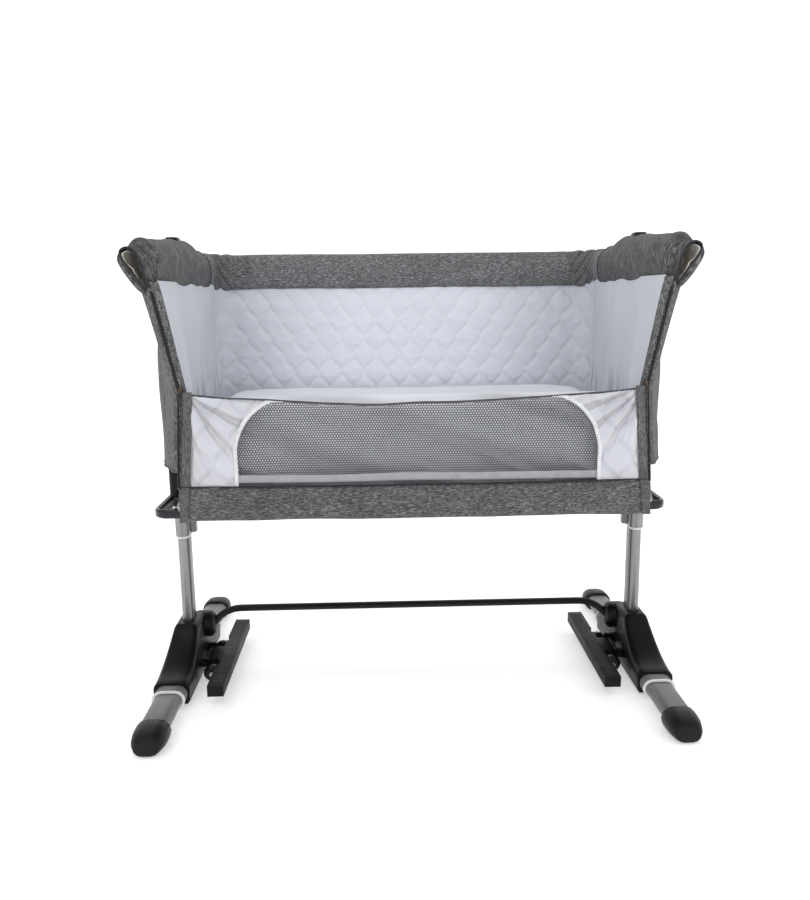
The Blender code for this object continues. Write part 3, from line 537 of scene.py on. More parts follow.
def smooth_line(corners, count, closed=False):
    """Points on a smooth curve through the corners, evenly along it."""
    p = np.array(corners, float)
    if closed:
        p = np.vstack([p[-1], p, p[:2]])
    else:
        p = np.vstack([2 * p[0] - p[1], p, 2 * p[-1] - p[-2]])
    t = np.linspace(0, 1, 12, endpoint=False)[:, None]
    fine = []
    for a, b, c, d in zip(p, p[1:], p[2:], p[3:]):
        fine.append(0.5 * (2 * b + (c - a) * t + (2 * a - 5 * b + 4 * c - d) * t ** 2
                           + (3 * b - a - 3 * c + d) * t ** 3))
    fine.append(p[-2][None, :] if not closed else p[1][None, :])
    fine = np.vstack(fine)
    run = run_along(fine)
    at = np.linspace(0, run[-1], count, endpoint=not closed)
    return np.stack([np.interp(at, run, fine[:, k]) for k in range(fine.shape[1])], axis=1)


def tube(name, path, radius, look, body, steps=8):
    """A round cord or piping along a path, closed at its ends."""
    path = np.array(path, float)
    heading = unit(np.gradient(path, axis=0))
    up = np.tile([0.0, 0.0, 1.0], (len(path), 1))
    up[np.abs(heading[:, 2]) > 0.8] = [0.0, 1.0, 0.0]
    side = unit(np.cross(heading, up))
    top = np.cross(side, heading)
    angle = full_turn(steps)
    ring = side[:, None] * np.cos(angle)[None, :, None] + top[:, None] * np.sin(angle)[None, :, None]
    radius = np.broadcast_to(np.asarray(radius, float), (len(path),))
    points = path[:, None] + ring * radius[:, None, None]
    made = object_from(name, points.reshape(-1, 3), closed_faces(len(path), steps), look)
    return settle(made, body)


# ---- inside of the tub -------------------------------------------------------------------
QUILT_ROW = RAIL_Z - 0.0090           # height that the rows are counted from
SEAM_Y = BACK_FACE - 0.050              # where the plain side lining is sewn to the quilt
CORNER = 0.040


def back_quilt():
    """Quilted padding across the back and round both corners."""
    corner_x, corner_y = LINER_BACK_X - CORNER, BACK_FACE - CORNER
    turn = [(CORNER * math.sin(a), CORNER * math.cos(a)) for a in np.linspace(0, math.pi / 2, 14)]
    right = [(corner_x + out, corner_y + on) for out, on in turn] + [(LINER_BACK_X, SEAM_Y)]
    left = [(-x, y) for x, y in right[::-1]]
    plan = np.array(left + [(x, BACK_FACE) for x in np.linspace(-corner_x, corner_x, 300)[1:-1]] + right)
    run = run_along(plan)
    at = np.linspace(0, run[-1], 430)
    x, y = np.interp(at, run, plan[:, 0]), np.interp(at, run, plan[:, 1])
    heading = unit(np.stack([np.gradient(x), np.gradient(y)], axis=1))
    inward = np.stack([heading[:, 1], -heading[:, 0]], axis=1)
    up = np.linspace(MATTRESS_HIGH.z - 0.030, BAND_LOW.z + 0.012, 130)
    across = at - run[-1] / 2
    grid_across, grid_up = np.meshgrid(across, up)
    puff = quilt_puff(grid_across, grid_up - QUILT_ROW, 0.0038)
    near_end = np.exp(-(run[-1] / 2 - np.abs(grid_across)) / 0.075)
    creases = 0.0035 * near_end * soft_noise(grid_across * 62, grid_up * 7, 3)
    sway = 0.0016 * soft_noise(grid_across * 9, grid_up * 11, 4)
    small = 0.0008 * soft_noise(grid_across * 70 + grid_up * 25, grid_up * 130, 5)
    tuck = 0.006 * ease(grid_up, up[0] + 0.045, up[0] + 0.010)
    rise = puff + creases + sway + small - tuck - 0.002
    points = np.stack([x[None, :] + inward[None, :, 0] * rise, y[None, :] + inward[None, :, 1] * rise,
                       grid_up], axis=-1)
    # painted shade, carried in the cloth layer: darker towards both turned ends and in the creases near
    # them
    painted_end_shade = 0.56 * ease(np.abs(grid_across), 0.10, run[-1] / 2 - 0.03)
    painted_end_shade = painted_end_shade + 0.16 * near_end * np.clip(soft_noise(grid_across * 62 + 1.3, grid_up * 7, 3), 0, 1)
    cloth = np.stack([grid_across, grid_up - QUILT_ROW, painted_end_shade], axis=-1)
    made = surface("back_quilt", points, "quilt", "bassinet", thickness=0.004, side=-1.0, cloth=cloth)
    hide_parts("back_wall")


def side_lining(label, side):
    """Plain lining from the back seam to the zip, gathered where it meets the mattress."""
    along = np.linspace(0, 1, 150)
    up = np.linspace(MATTRESS_HIGH.z - 0.035, WALL_TOP + 0.020, 80)
    front = COVER_FRONT + 0.004
    t, z = np.meshgrid(along, up)
    y = SEAM_Y + (front - SEAM_Y) * t
    toe = ease(-y, 0.03, -front)
    # the front edge follows the zip, which leans out from the fold to the rail
    front_x = facing_x(np.maximum(z, MATTRESS_HIGH.z)) + 0.002
    x = LINER_BACK_X + (front_x - LINER_BACK_X) * toe
    low = ease(z, up[0] + 0.100, up[0] + 0.03)
    pull = soft_noise(y * 78, z * 9, 11)
    gather = 0.0065 * low * pull * ease(-y, 0.25, -0.25)
    hang = 0.0022 * soft_noise(y * 24, z * 5, 12) + 0.0035 * soft_noise(y * 6, z * 6, 13)
    seam = 0.003 * np.exp(-np.abs(y - SEAM_Y) / 0.008) * soft_noise(y * 90, z * 60, 14)
    x = x + gather + hang * ease(-y, -front, -front - 0.05) + seam
    points = np.stack([x, y, z], axis=-1)
    # painted shade, carried in the cloth layer: in the gathers by the mattress, along soft crease lines and
    # darker towards the front
    crease = np.clip(soft_noise(y * 40 + z * 2, z * 7, 15), 0.1, 1) - 0.1
    shade = (0.95 * low * np.clip(pull * 1.6, 0, 1) + 0.40 * crease * ease(y, -0.20, 0.15)
             + 0.36 * ease(-y, -0.12, 0.26))
    cloth = np.stack([y, z, shade], axis=-1)
    made = surface(f"side_lining_{label}", flipped(points, side), "lining", "bassinet", thickness=0.0016,
                   cloth=cloth)
    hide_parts(f"liner_{label}")
    seam_line = points[:, 0] + np.array([-0.001, 0.0, 0.0])
    tube(f"lining_seam_{label}", flipped(seam_line, side), 0.0011, "white", "bassinet", 6)


def cloth_pressure(source, cap):
    """Swells a closed pad with cloth simulation, moving no point further than the cap."""
    before = np.array([v.co for v in source.data.vertices])
    cloth = source.modifiers.new("swell", "CLOTH")
    cloth.settings.quality = 4
    cloth.settings.use_pressure = True
    cloth.settings.uniform_pressure_force = 4.0
    cloth.settings.effector_weights.gravity = 0.0
    cloth.settings.tension_stiffness = 12.0
    cloth.settings.compression_stiffness = 8.0
    cloth.settings.shear_stiffness = 4.0
    cloth.settings.bending_stiffness = 0.8
    scene = bpy.context.scene
    for number in range(1, 21):
        scene.frame_set(number)
    after = source.evaluated_get(bpy.context.evaluated_depsgraph_get())
    moved = np.array([v.co for v in after.data.vertices])
    source.modifiers.remove(cloth)
    scene.frame_set(1)
    step = moved - before
    length = np.linalg.norm(step, axis=1)[:, None]
    return before + step * np.minimum(1.0, cap / np.maximum(length, 1e-9))


def rounded(half_x, low_y, high_y, corner):
    """A rounded rectangle about X = 0, round from its right side."""
    points = []
    for way, y, first in ((1, high_y - corner, 0), (-1, high_y - corner, 90), (-1, low_y + corner, 180),
                          (1, low_y + corner, 270)):
        for a in np.radians(np.linspace(first, first + 90, 10)):
            points.append((way * (half_x - corner) + corner * math.cos(a), y + corner * math.sin(a)))
    return np.array(points)


def mattress():
    """Foam pad in a fitted cloth: swollen, flat below, with small creases across its top."""
    half_x, half_y = MATTRESS_HIGH.x - 0.005, MATTRESS_HIGH.y - 0.005
    low, high = MATTRESS_LOW.z + 0.002, MATTRESS_HIGH.z - 0.004
    outline = rounded(half_x, -half_y, half_y, 0.075)
    levels = [(low, 0.008), (low + 0.008, 0.0), (high - 0.012, 0.0), (high - 0.003, 0.004), (high, 0.012)]
    rings = [np.column_stack([outline * (1 - inset / half_y), np.full(len(outline), z)])
             for z, inset in levels]
    pad = object_from("mattress_pad", np.vstack(rings), closed_faces(len(levels), len(outline)), "sheet")
    remesh = pad.modifiers.new("remesh", "REMESH")
    remesh.mode = "VOXEL"
    remesh.voxel_size = 0.0065
    depsgraph = bpy.context.evaluated_depsgraph_get()
    fine = bpy.data.meshes.new_from_object(pad.evaluated_get(depsgraph))
    pad.modifiers.clear()
    pad.data = fine
    points = cloth_pressure(pad, 0.006)
    points[:, 2] = np.maximum(points[:, 2], MATTRESS_LOW.z)
    top = ease(points[:, 2], low + 0.025, high)
    x, y = points[:, 0], points[:, 1]
    creases = 0.0011 * soft_noise(x * 14, y * 85, 21) + 0.0016 * soft_noise(x * 5, y * 9, 22)
    points[:, 2] += top * creases
    fine.vertices.foreach_set("co", points.astype(np.float32).ravel())
    fine.update()
    if not fine.materials:
        fine.materials.append(LOOKS["sheet"])
    fine.shade_smooth()
    smooth = pad.modifiers.new("smooth", "SUBSURF")
    smooth.levels = smooth.render_levels = 1
    settle(pad, "bassinet")
    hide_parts("mattress")


def round_outline(half_x, low_y, high_y, corner, angle):
    """A rounded rectangle, read off at the given angles about its middle."""
    points = rounded(half_x, low_y, high_y, corner)
    turn = np.arctan2(points[:, 1] - (low_y + high_y) / 2, points[:, 0])
    return [np.interp(angle, turn, points[:, k], period=2 * math.pi) for k in range(2)]


def floor_lining():
    """White cloth from the foot of the walls in under the mattress."""
    angle = full_turn(320)
    front = COVER_FRONT + 0.004
    wall_x, wall_y = round_outline(LINER_BACK_X + 0.006, front, BACK_FACE + 0.0085, CORNER, angle)
    toe = ease(-wall_y, 0.03, -front)
    wall_x = wall_x * (1 + (facing_x(MATTRESS_HIGH.z) + 0.002 - LINER_BACK_X) / LINER_BACK_X * toe)
    pad_x, pad_y = round_outline(MATTRESS_HIGH.x - 0.014, MATTRESS_LOW.y + 0.014, MATTRESS_HIGH.y - 0.014,
                                 0.065, angle)
    high, low = MATTRESS_HIGH.z - 0.025, MATTRESS_LOW.z + 0.0010
    rows = []
    for share in np.linspace(0, 1, 14):
        x = wall_x + (pad_x - wall_x) * share
        y = wall_y + (pad_y - wall_y) * share
        z = high + (low - high) * ease(share, 0.0, 0.75)
        z = z + 0.0025 * math.sin(math.pi * share) * soft_noise(angle * 14, 0 * angle + share * 2, 25)
        rows.append(np.column_stack([x, y, z]))
    points = np.array(rows)
    made = surface("floor_lining", points, "white", "bassinet", wrap=True, thickness=0.0014)


# ---- outside of the tub ------------------------------------------------------------------
ZIP_Y = COVER_FRONT - 0.0026
TEETH = 58
SKIRT_POINTS = 150                        # along the skirt, from the zip to the back corner
GUSSET_X = 0.340                          # inner edge of the gusset, behind the drop side


def zip_x(z):
    """Where the front corner's zip runs: upright below the fold, leaning out above it."""
    return ZIP_BASE + np.interp(z, [SKIRT_LOW, FOLD_Z, WALL_TOP, WALL_TOP + 0.02],
                                [0.009, 0.0, 0.0325, 0.0375])


def facing_x(z):
    """Inboard edge of the heather facing that runs beside the zip."""
    return zip_x(z) - np.interp(z, [FOLD_Z, WALL_TOP], [0.0085, 0.0125])


def side_cover(label, side):
    """Heather skirt drawn from the front zip, out over the post, to the back corner."""
    levels = np.linspace(SKIRT_LOW, RAIL_Z - 0.045, 90)
    rows = []
    for z in levels:
        lean = float(ease(z, RAIL_Z - 0.085, RAIL_Z - 0.04)) * 0.016
        tight = 0.010 * float(ease(z, FOLD_Z, RAIL_Z - 0.06))
        start = float(zip_x(z))
        plan = [(start, COVER_FRONT - 0.001), (start + 0.010, COVER_FRONT + 0.001),
                (start + 0.022, COVER_FRONT + 0.030),
                (0.427 - lean * 0.5 - tight, -0.155), (0.450 - tight * 0.8, -0.070),
                (COVER_OUT - 0.0035 - tight * 0.25, -0.030), (COVER_OUT - tight * 0.55, 0.0),
                (COVER_OUT - 0.0030 - tight * 0.25, 0.034), (0.450 - tight * 0.8, 0.090),
                (0.442 - lean - tight * 0.5, 0.160), (0.431 - lean, 0.255),
                (0.419 - lean, COVER_BACK - 0.004), (0.398, COVER_BACK + 0.0005)]
        rows.append(smooth_line(plan, SKIRT_POINTS))
    rows = np.array(rows)
    x, y = rows[..., 0], rows[..., 1]
    z = np.repeat(levels[:, None], rows.shape[1], axis=1)
    outward = unit(np.stack([np.gradient(y, axis=1), -np.gradient(x, axis=1)], axis=-1))
    middle = SKIRT_POINTS // 2
    outward *= np.sign(outward[:, middle:middle + 1, 0:1])
    along = np.linspace(0, 1, rows.shape[1])[None, :]
    loose = ease(along, 0.0, 0.12) * ease(-along, -1.0, -0.9)
    drag = (0.0030 * soft_noise(along * 9 + z * 6, z * 8, 31)
            + 0.0015 * soft_noise(along * 26 - z * 10, z * 9, 32))
    post = np.exp(-(y / 0.06) ** 2)
    drag = drag * (1 - 0.6 * post) * loose
    x = x + outward[..., 0] * drag
    y = y + outward[..., 1] * drag
    # the hem rises towards the front corner
    foot = ease(-z, -SKIRT_LOW - 0.12, -SKIRT_LOW)
    z = z + foot * (0.030 * ease(-y, 0.05, 0.27) + 0.0015 * soft_noise(along * 12, z * 3, 33))
    points = np.stack([x, y, z], axis=-1)
    made = surface(f"side_skirt_{label}", flipped(points, side), "heather_z", "bassinet",
                   thickness=CLOTH_THICKNESS)
    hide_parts(f"side_cover_{label}")
    hem = tube(f"skirt_hem_{label}", flipped(points[0], side), 0.0023, "tape", "bassinet", 8)


def back_cover():
    """Heather outside of the back, from the hem up into the rail band."""
    across = np.linspace(-BACK_HALF, BACK_HALF, 260)
    up = np.linspace(SKIRT_LOW, BAND_LOW.z + 0.012, 90)
    x, z = np.meshgrid(across, up)
    hang = (0.0020 * soft_noise(x * 7 + z * 3, z * 6, 41)
            + 0.0010 * soft_noise(x * 22 + z * 9, z * 7, 42))
    y = COVER_BACK - 0.0005 + hang * ease(-np.abs(x), -BACK_HALF, -0.36)
    points = np.stack([x, y, z], axis=-1)
    made = surface("back_skirt", points, "heather_x", "bassinet", thickness=CLOTH_THICKNESS, side=-1.0)
    hem = tube("back_hem", points[0], 0.0023, "tape", "bassinet", 8)


# sections of the side sleeve about the rail: out from it, and up from it
SECTION_POINTS = 56
MOUTH_ROWS = 7                            # rows of the sleeve over which its mouth turns
LINED_ROWS = 62                           # rows of the sleeve that the mouth's lining follows
BODY_SECTION = [(0.000, 0.0245), (0.016, 0.0205), (0.026, 0.008), (0.0285, -0.010), (0.026, -0.030),
                (0.015, -0.046), (0.000, -0.050), (-0.014, -0.0465), (-0.024, -0.034), (-0.0280, -0.014),
                (-0.0265, 0.006), (-0.016, 0.0195)]
SLEEVE_END = 0.150                     # where the side sleeve meets its corner piece
FLARE_SECTION = [(0.012, 0.0145), (0.0225, 0.0105), (0.028, -0.001), (0.025, -0.0125), (0.0135, -0.031),
                 (0.000, -0.048), (-0.0125, -0.057), (-0.0145, -0.0500), (-0.013, -0.0325),
                 (-0.010, -0.014), (-0.006, 0.000), (0.002, 0.0110)]
MOUTH_SECTION = [(0.012, 0.0145), (0.0210, 0.0095), (0.0195, -0.001), (0.0125, -0.0120), (0.0015, -0.0270),
                 (-0.0085, -0.0410), (-0.0138, -0.0500), (-0.0150, -0.0460), (-0.013, -0.0325),
                 (-0.010, -0.014), (-0.006, 0.000), (0.002, 0.0110)]
# how high the sleeve's ridge stands above the rail, along the side
RIDGE_Y = [-0.285, -0.24, -0.175, -0.09, 0.0, 0.05, 0.09, 0.13, 0.205]
RIDGE_RISE = [0.0245, 0.0305, 0.0345, 0.0390, 0.0430, 0.0425, 0.035, 0.0285, 0.0255]


def ridged(section, y):
    """Heights of the sleeve's section, with its ridge as high as it is at this place."""
    ridge = np.interp(y, RIDGE_Y, RIDGE_RISE) / BODY_SECTION[0][1]
    return np.where(section[:, 1] > 0, section[:, 1] * ridge, section[:, 1])


def lower_outside(section):
    """From 0 to 1, how far a point belongs to the lower part of the sleeve's outer face."""
    return ease(-section[:, 1], 0.012, 0.05) * (section[:, 0] > 0)


def sleeve_rings(stations):
    """Rings of the side sleeve: (Y, share of the flare, share of the mouth, swell over the post)."""
    rings = []
    body, flare, mouth = (smooth_line(section, SECTION_POINTS, closed=True)
                          for section in (BODY_SECTION, FLARE_SECTION, MOUTH_SECTION))
    for y, opened, turned, swell in stations:
        out = body[:, 0] * (1 + 0.10 * swell) + 0.004 * swell
        back = float(ease(y, -0.24, -0.08))
        out = out + lower_outside(body) * ((0.010 + 0.004 * swell) * back - 0.013 * (1 - back))
        up = ridged(body, y)
        for shape, share in ((flare, opened), (mouth, turned)):
            out = out * (1 - share) + shape[:, 0] * share
            up = up * (1 - share) + shape[:, 1] * share
        rings.append(np.column_stack([RAIL_X + out, np.full(len(out), y), RAIL_Z + up]))
    return np.array(rings)


def sleeve_lining(label, side, rings):
    """Pale cloth inside the sleeve's mouth, crumpled, and drawn together where it goes dark."""
    inner = rings[:LINED_ROWS].copy()
    # behind the turned rim the lining goes straight back, so that it stays inside it
    inner[:MOUTH_ROWS] = rings[0] + (inner[:MOUTH_ROWS] - rings[0]) * np.array([0.0, 1.0, 0.0])
    inward = inner.mean(axis=1, keepdims=True) - inner
    inward[..., 1] = 0
    inward /= np.maximum(np.linalg.norm(inward, axis=2)[..., None], 1e-6)
    closing = 0.97 * ease(np.linspace(0, 1, len(inner)), 0.35, 1.0)[:, None, None]
    inner = inner + inward * 0.0022
    crumple = 0.0022 * soft_noise(inner[..., 1] * 120, inner[..., 2] * 110, 54)
    inner = inner + inward * (crumple + 0.0012)[..., None]
    inner = inner + (inner.mean(axis=1, keepdims=True) - inner) * closing
    surface(f"sleeve_lining_{label}", flipped(inner, side), "mouth", "bassinet", wrap=True)


def side_sleeve(label, side):
    """Cloth sleeve over the side rail: gathered over the post, open like a leaf in front."""
    mouth_y = COVER_FRONT - 0.002
    y = np.concatenate([np.linspace(mouth_y, mouth_y + 0.006, MOUTH_ROWS),
                        np.linspace(mouth_y + 0.009, -0.235, 16), np.linspace(-0.230, SLEEVE_END, 84)])
    opened = ease(-y, 0.245, -mouth_y - 0.006)
    turned = ease(-y, -mouth_y - 0.005, -mouth_y)
    swell = np.exp(-(np.abs(y) / 0.075) ** 2.6)
    rings = sleeve_rings(list(zip(y, opened, turned, swell)))
    spoke = rings - np.array([RAIL_X, 0.0, RAIL_Z])
    spoke[..., 1] = 0
    spoke = unit(spoke)
    turn = np.arctan2(spoke[..., 2], spoke[..., 0])
    yy = rings[..., 1]
    around = (0.0009 * soft_noise(yy * 55, turn * 1.2 + 9, 51)
              + 0.0022 * soft_noise(yy * 16, turn * 1.4 + 5, 52))
    puckers = 0.0012 * np.exp(-np.abs(yy - SLEEVE_END) / 0.03) * soft_noise(yy * 20, turn * 7 + 30, 53)
    rings = rings + spoke * ((around + puckers) * ease(-yy, 0.288, 0.262))[..., None]
    made = surface(f"rail_sleeve_{label}", flipped(rings, side), "heather_y_ring", "bassinet", wrap=True)
    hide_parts(f"side_rail_sleeve_{label}")
    sleeve_lining(label, side, rings)
    rim = np.vstack([rings[0], rings[0][:1]])
    tube(f"sleeve_rim_{label}", flipped(rim, side), 0.0019, "rim", "bassinet", 8)
    seam = np.vstack([rings[-1], rings[-1][:1]]) + np.array([0.0, 0.001, 0.0])
    tube(f"corner_seam_{label}", flipped(seam, side), 0.0013, "rim", "bassinet", 6)


def corner_sleeve(label, side):
    """The sleeve's back corner, pulled into slanting folds where it meets the back band."""
    centre_x, centre_y = RAIL_X - RAIL_BEND, RAIL_Y - RAIL_BEND
    path = [(RAIL_X, y, 0.0) for y in np.linspace(SLEEVE_END + 0.001, centre_y - 0.004, 30)]
    path += [(centre_x + RAIL_BEND * math.cos(a), centre_y + RAIL_BEND * math.sin(a), a)
             for a in np.linspace(0.03, math.pi / 2, 80)]
    path.append((centre_x - 0.030, RAIL_Y, math.pi / 2))
    path = np.array(path)
    body = smooth_line(BODY_SECTION, SECTION_POINTS, closed=True)
    angle = np.linspace(math.pi / 2, -1.5 * math.pi, SECTION_POINTS, endpoint=False)
    band = np.column_stack(band_section(angle))
    rings = []
    for k, (x, y, a) in enumerate(path):
        share = k / (len(path) - 1)
        blend = float(ease(share, 0.0, 1.0))
        section = np.column_stack([body[:, 0] + 0.010 * lower_outside(body), ridged(body, y)])
        section = section * (1 - blend) + band * blend
        radial = np.array([math.cos(a), math.sin(a)])
        rings.append(np.column_stack([x + section[:, 0] * radial[0], y + section[:, 0] * radial[1],
                                      RAIL_Z + section[:, 1]]))
    rings = np.array(rings)
    spoke = unit(rings - rings.mean(axis=1, keepdims=True))
    share = np.linspace(0, 1, len(path))[:, None]
    height = (rings[..., 2] - RAIL_Z) / 0.036
    slant = share + height * 0.33
    wave = np.abs(np.sin(slant * 13.0))
    reach = ease(share, 0.10, 0.35) * ease(-share, -1.0, -0.8)
    rings = rings + spoke * (0.0026 * (2 * wave ** 0.5 - 1) * reach)[..., None]
    shade = 0.95 * np.exp(-wave / 0.16) * reach
    cloth = np.stack([rings[..., 1], rings[..., 2], shade], axis=-1)
    surface(f"corner_sleeve_{label}", flipped(rings, side), "heather_corner_fold_shaded", "bassinet", wrap=True,
            cloth=cloth)


def back_band():
    """Heather sleeve along the back rail, a little slack between its ends."""
    half = RAIL_X - RAIL_BEND - 0.004
    x = np.linspace(-half, half, 220)
    across, up = band_section(full_turn(SECTION_POINTS))
    xx = np.repeat(x[:, None], SECTION_POINTS, axis=1)
    y = RAIL_Y + across[None, :] + 0 * xx
    z = RAIL_Z + up[None, :] + 0 * xx
    slack = ease(-np.abs(xx), -half, -half + 0.05)
    y = y - np.sign(-across)[None, :] * slack * (0.0016 * soft_noise(xx * 13, z * 30, 61)
                                                 + 0.0008 * soft_noise(xx * 45 + z * 60, z * 50, 62))
    z = z + slack * 0.0014 * soft_noise(xx * 9, 0 * xx + 3, 63) * np.where(up > 0, 0.7, 1.0)[None, :]
    points = np.stack([xx, y, z], axis=-1)
    made = surface("back_band", points, "heather_band", "bassinet", wrap=True)
    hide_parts("back_rail_sleeve")
    lowest = int(np.argmin(up))
    for name, shift in (("inner", -0.0085), ("outer", 0.0085)):
        line = points[:, lowest] + np.array([0.0, shift, 0.0022])
        tube(f"band_seam_{name}", line, 0.0011, "rim", "bassinet", 6)


def tilt(hang, z):
    """How far a hanging cloth leans from upright: where it faces down it lies in its own shade."""
    return np.gradient(hang, axis=0) / np.gradient(z, axis=0)


def front_wall():
    """White wall behind the drop side, pulled into slanting folds."""
    x, z = np.meshgrid(np.linspace(-WALL_HALF, WALL_HALF, 240), np.linspace(SKIRT_LOW, FOLD_Z - 0.007, 70))
    folds = (0.0022 * np.sin((x * 1.3 + z * 3.1) * 21 + 2.0 * soft_noise(x * 4, z * 6, 71))
             + 0.0012 * soft_noise(x * 15 + z * 24, z * 12, 72))
    folds = folds * ease(-np.abs(x), -WALL_HALF, -0.31)
    y = COVER_FRONT + 0.0015 + folds
    points = np.stack([x, y, z], axis=-1)
    # painted shade, carried in the cloth layer, where the folds face down
    cloth = np.stack([x, z, np.clip(-3.0 * tilt(folds, z), 0, 0.6)], axis=-1)
    made = surface("front_lining", points, "wall", "bassinet", thickness=0.002, side=0.0, cloth=cloth)
    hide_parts("front_wall")


def front_facing(label, side):
    """Heather strip beside the zip, turned under where it meets the lining."""
    z, share = np.meshgrid(np.linspace(FOLD_Z - 0.004, WALL_TOP + 0.018, 90), np.linspace(0, 1, 8),
                           indexing="ij")
    x = facing_x(z) + (zip_x(z) - facing_x(z)) * share
    y = ZIP_Y + 0.0035 * (1 - share) ** 2 + 0.0005 * soft_noise(z * 60, share * 3.0, 73)
    points = np.stack([x, y, z], axis=-1)
    surface(f"front_facing_{label}", flipped(points, side), "heather_z", "bassinet",
            thickness=CLOTH_THICKNESS, side=0.0)


def front_zip(label, side):
    """Zip up the front corner: a dark tape with a toothed coil."""
    up = np.linspace(FOLD_Z + 0.002, WALL_TOP + 0.004, 60)
    tape = np.array([[(zip_x(z) + dx, ZIP_Y + abs(dx) * 0.08, z) for dx in (-0.005, -0.002, 0.002, 0.005)]
                     for z in up])
    surface(f"zip_tape_{label}", flipped(tape, side), "rim", "bassinet", thickness=0.0008)
    cube = ((0, 1, 3, 2), (4, 6, 7, 5), (0, 4, 5, 1), (2, 3, 7, 6), (0, 2, 6, 4), (1, 5, 7, 3))
    vertices, faces = [], []
    for k in range(TEETH):
        z = up[0] + (up[-1] - up[0]) * (k + 0.5) / TEETH
        x = float(zip_x(z)) + (0.0007 if k % 2 else -0.0007)
        base = len(vertices)
        vertices += [(x + a, ZIP_Y + b, z + c) for a in (-0.0015, 0.0015) for b in (-0.0019, -0.0006)
                     for c in (-0.0008, 0.0008)]
        faces += [tuple(base + corner for corner in face) for face in cube]
    teeth = object_from(f"zip_teeth_{label}", flipped(np.array(vertices), side), faces, "zip")
    settle(teeth, "bassinet")


def front_gusset(label, side):
    """Heather below the zip, from the front wall out to the corner, with piping down its edge."""
    z, share = np.meshgrid(np.linspace(SKIRT_LOW + 0.001, FOLD_Z - 0.006, 50), np.linspace(0, 1, 6),
                           indexing="ij")
    x = GUSSET_X + (zip_x(z) + 0.006 - GUSSET_X) * share
    y = COVER_FRONT - 0.0012 + 0.0006 * soft_noise(z * 50, share * 4, 74)
    points = np.stack([x, y, z], axis=-1)
    surface(f"front_gusset_{label}", flipped(points, side), "tape", "bassinet", thickness=0.0014,
            side=0.0)
    edge = np.array([(zip_x(z) + 0.004, ZIP_Y + 0.0005, z)
                     for z in np.linspace(SKIRT_LOW + 0.004, FOLD_Z, 30)])
    tube(f"corner_piping_{label}", flipped(edge, side), 0.0016, "rim", "bassinet", 6)


# ---- drop side ---------------------------------------------------------------------------
PANEL_HALF_TOP, PANEL_HALF_LOW = 0.355, PANEL_HIGH.x
TAPE_WIDTH = 0.0135
BAND_TOP = FRONT_RAIL_Z + 0.031
WINDOW_LEFT, WINDOW_RIGHT = -0.279, 0.287
WINDOW_LOW, WINDOW_CORNER = BAND_TOP, 0.088
WINDOW_TURN = FOLD_Z - 0.095            # where the window's sides start to curve in
NET_PITCH = 0.0042
HOLE_SHARE, HOLE_CLOSING = 0.735, 0.14    # a hole's share of its cell, and how much of it closes
# section of the window's binding: out from the window's edge, and forward
BINDING_SECTION = [(-0.0012, 0.0), (-0.0006, 0.0016), (0.0016, 0.0020), (0.0042, 0.0016), (0.0050, 0.0)]
BAND_ROWS, BAND_POINTS, BAND_HALF_TALL = 240, 52, 0.030


def fold_z(x):
    """Height of the fold line, which sags between its two corners."""
    x = np.asarray(x, float)
    sag = (0.0165 * (1 - np.abs(x / PANEL_HALF_TOP) ** 2.2)
           + 0.0035 * np.exp(-((x + 0.08) / 0.11) ** 2))
    return FOLD_Z - 0.0005 - sag + 0.0010 * soft_noise(x * 17, 0 * x + 2, 81)


def panel_half(z):
    return np.interp(z, [PANEL_LOW.z, FOLD_Z], [PANEL_HALF_LOW, PANEL_HALF_TOP])


def panel_y(x, z):
    """The hanging cloth: folds fan out from both upper corners and fade towards the middle."""
    x, z = np.asarray(x, float), np.asarray(z, float)
    total = 0 * x * z
    for side in (-1, 1):
        dx = (side * PANEL_HALF_TOP - x) * side
        dz = FOLD_Z + 0.004 - z
        reach = np.hypot(dx, dz)
        angle = np.arctan2(dz, np.maximum(dx, 0) + 1e-6)
        fan = np.sin(angle * 15 + 1.5 * side + 1.6 * soft_noise(reach * 14, angle * 2, 82 + side))
        fan = np.sign(fan) * np.abs(fan) ** 1.6
        total = total + 0.0060 * fan * ease(reach, 0.004, 0.05) * np.exp(-reach / 0.15)
    total = total + 0.0011 * np.sin((x * 1.15 - z * 2.6) * 24) * ease(-np.abs(x), -0.30, -0.15)
    total = total + 0.0010 * soft_noise(x * 9, z * 12, 84)
    calm = ease(-z, -FOLD_Z - 0.002, -FOLD_Z + 0.02) * ease(z, BAND_TOP - 0.002, BAND_TOP + 0.02)
    return (PANEL_LOW.y + PANEL_HIGH.y) / 2 - 0.0008 + total * (0.25 + 0.75 * calm)


def window_edge(z, side):
    """X of the net window's edge at a height, round its upper corner."""
    edge = WINDOW_LEFT if side < 0 else WINDOW_RIGHT
    rise = np.clip((np.asarray(z, float) - WINDOW_TURN) / WINDOW_CORNER, 0, 1)
    return edge - side * WINDOW_CORNER * (1 - np.sqrt(1 - rise ** 2))


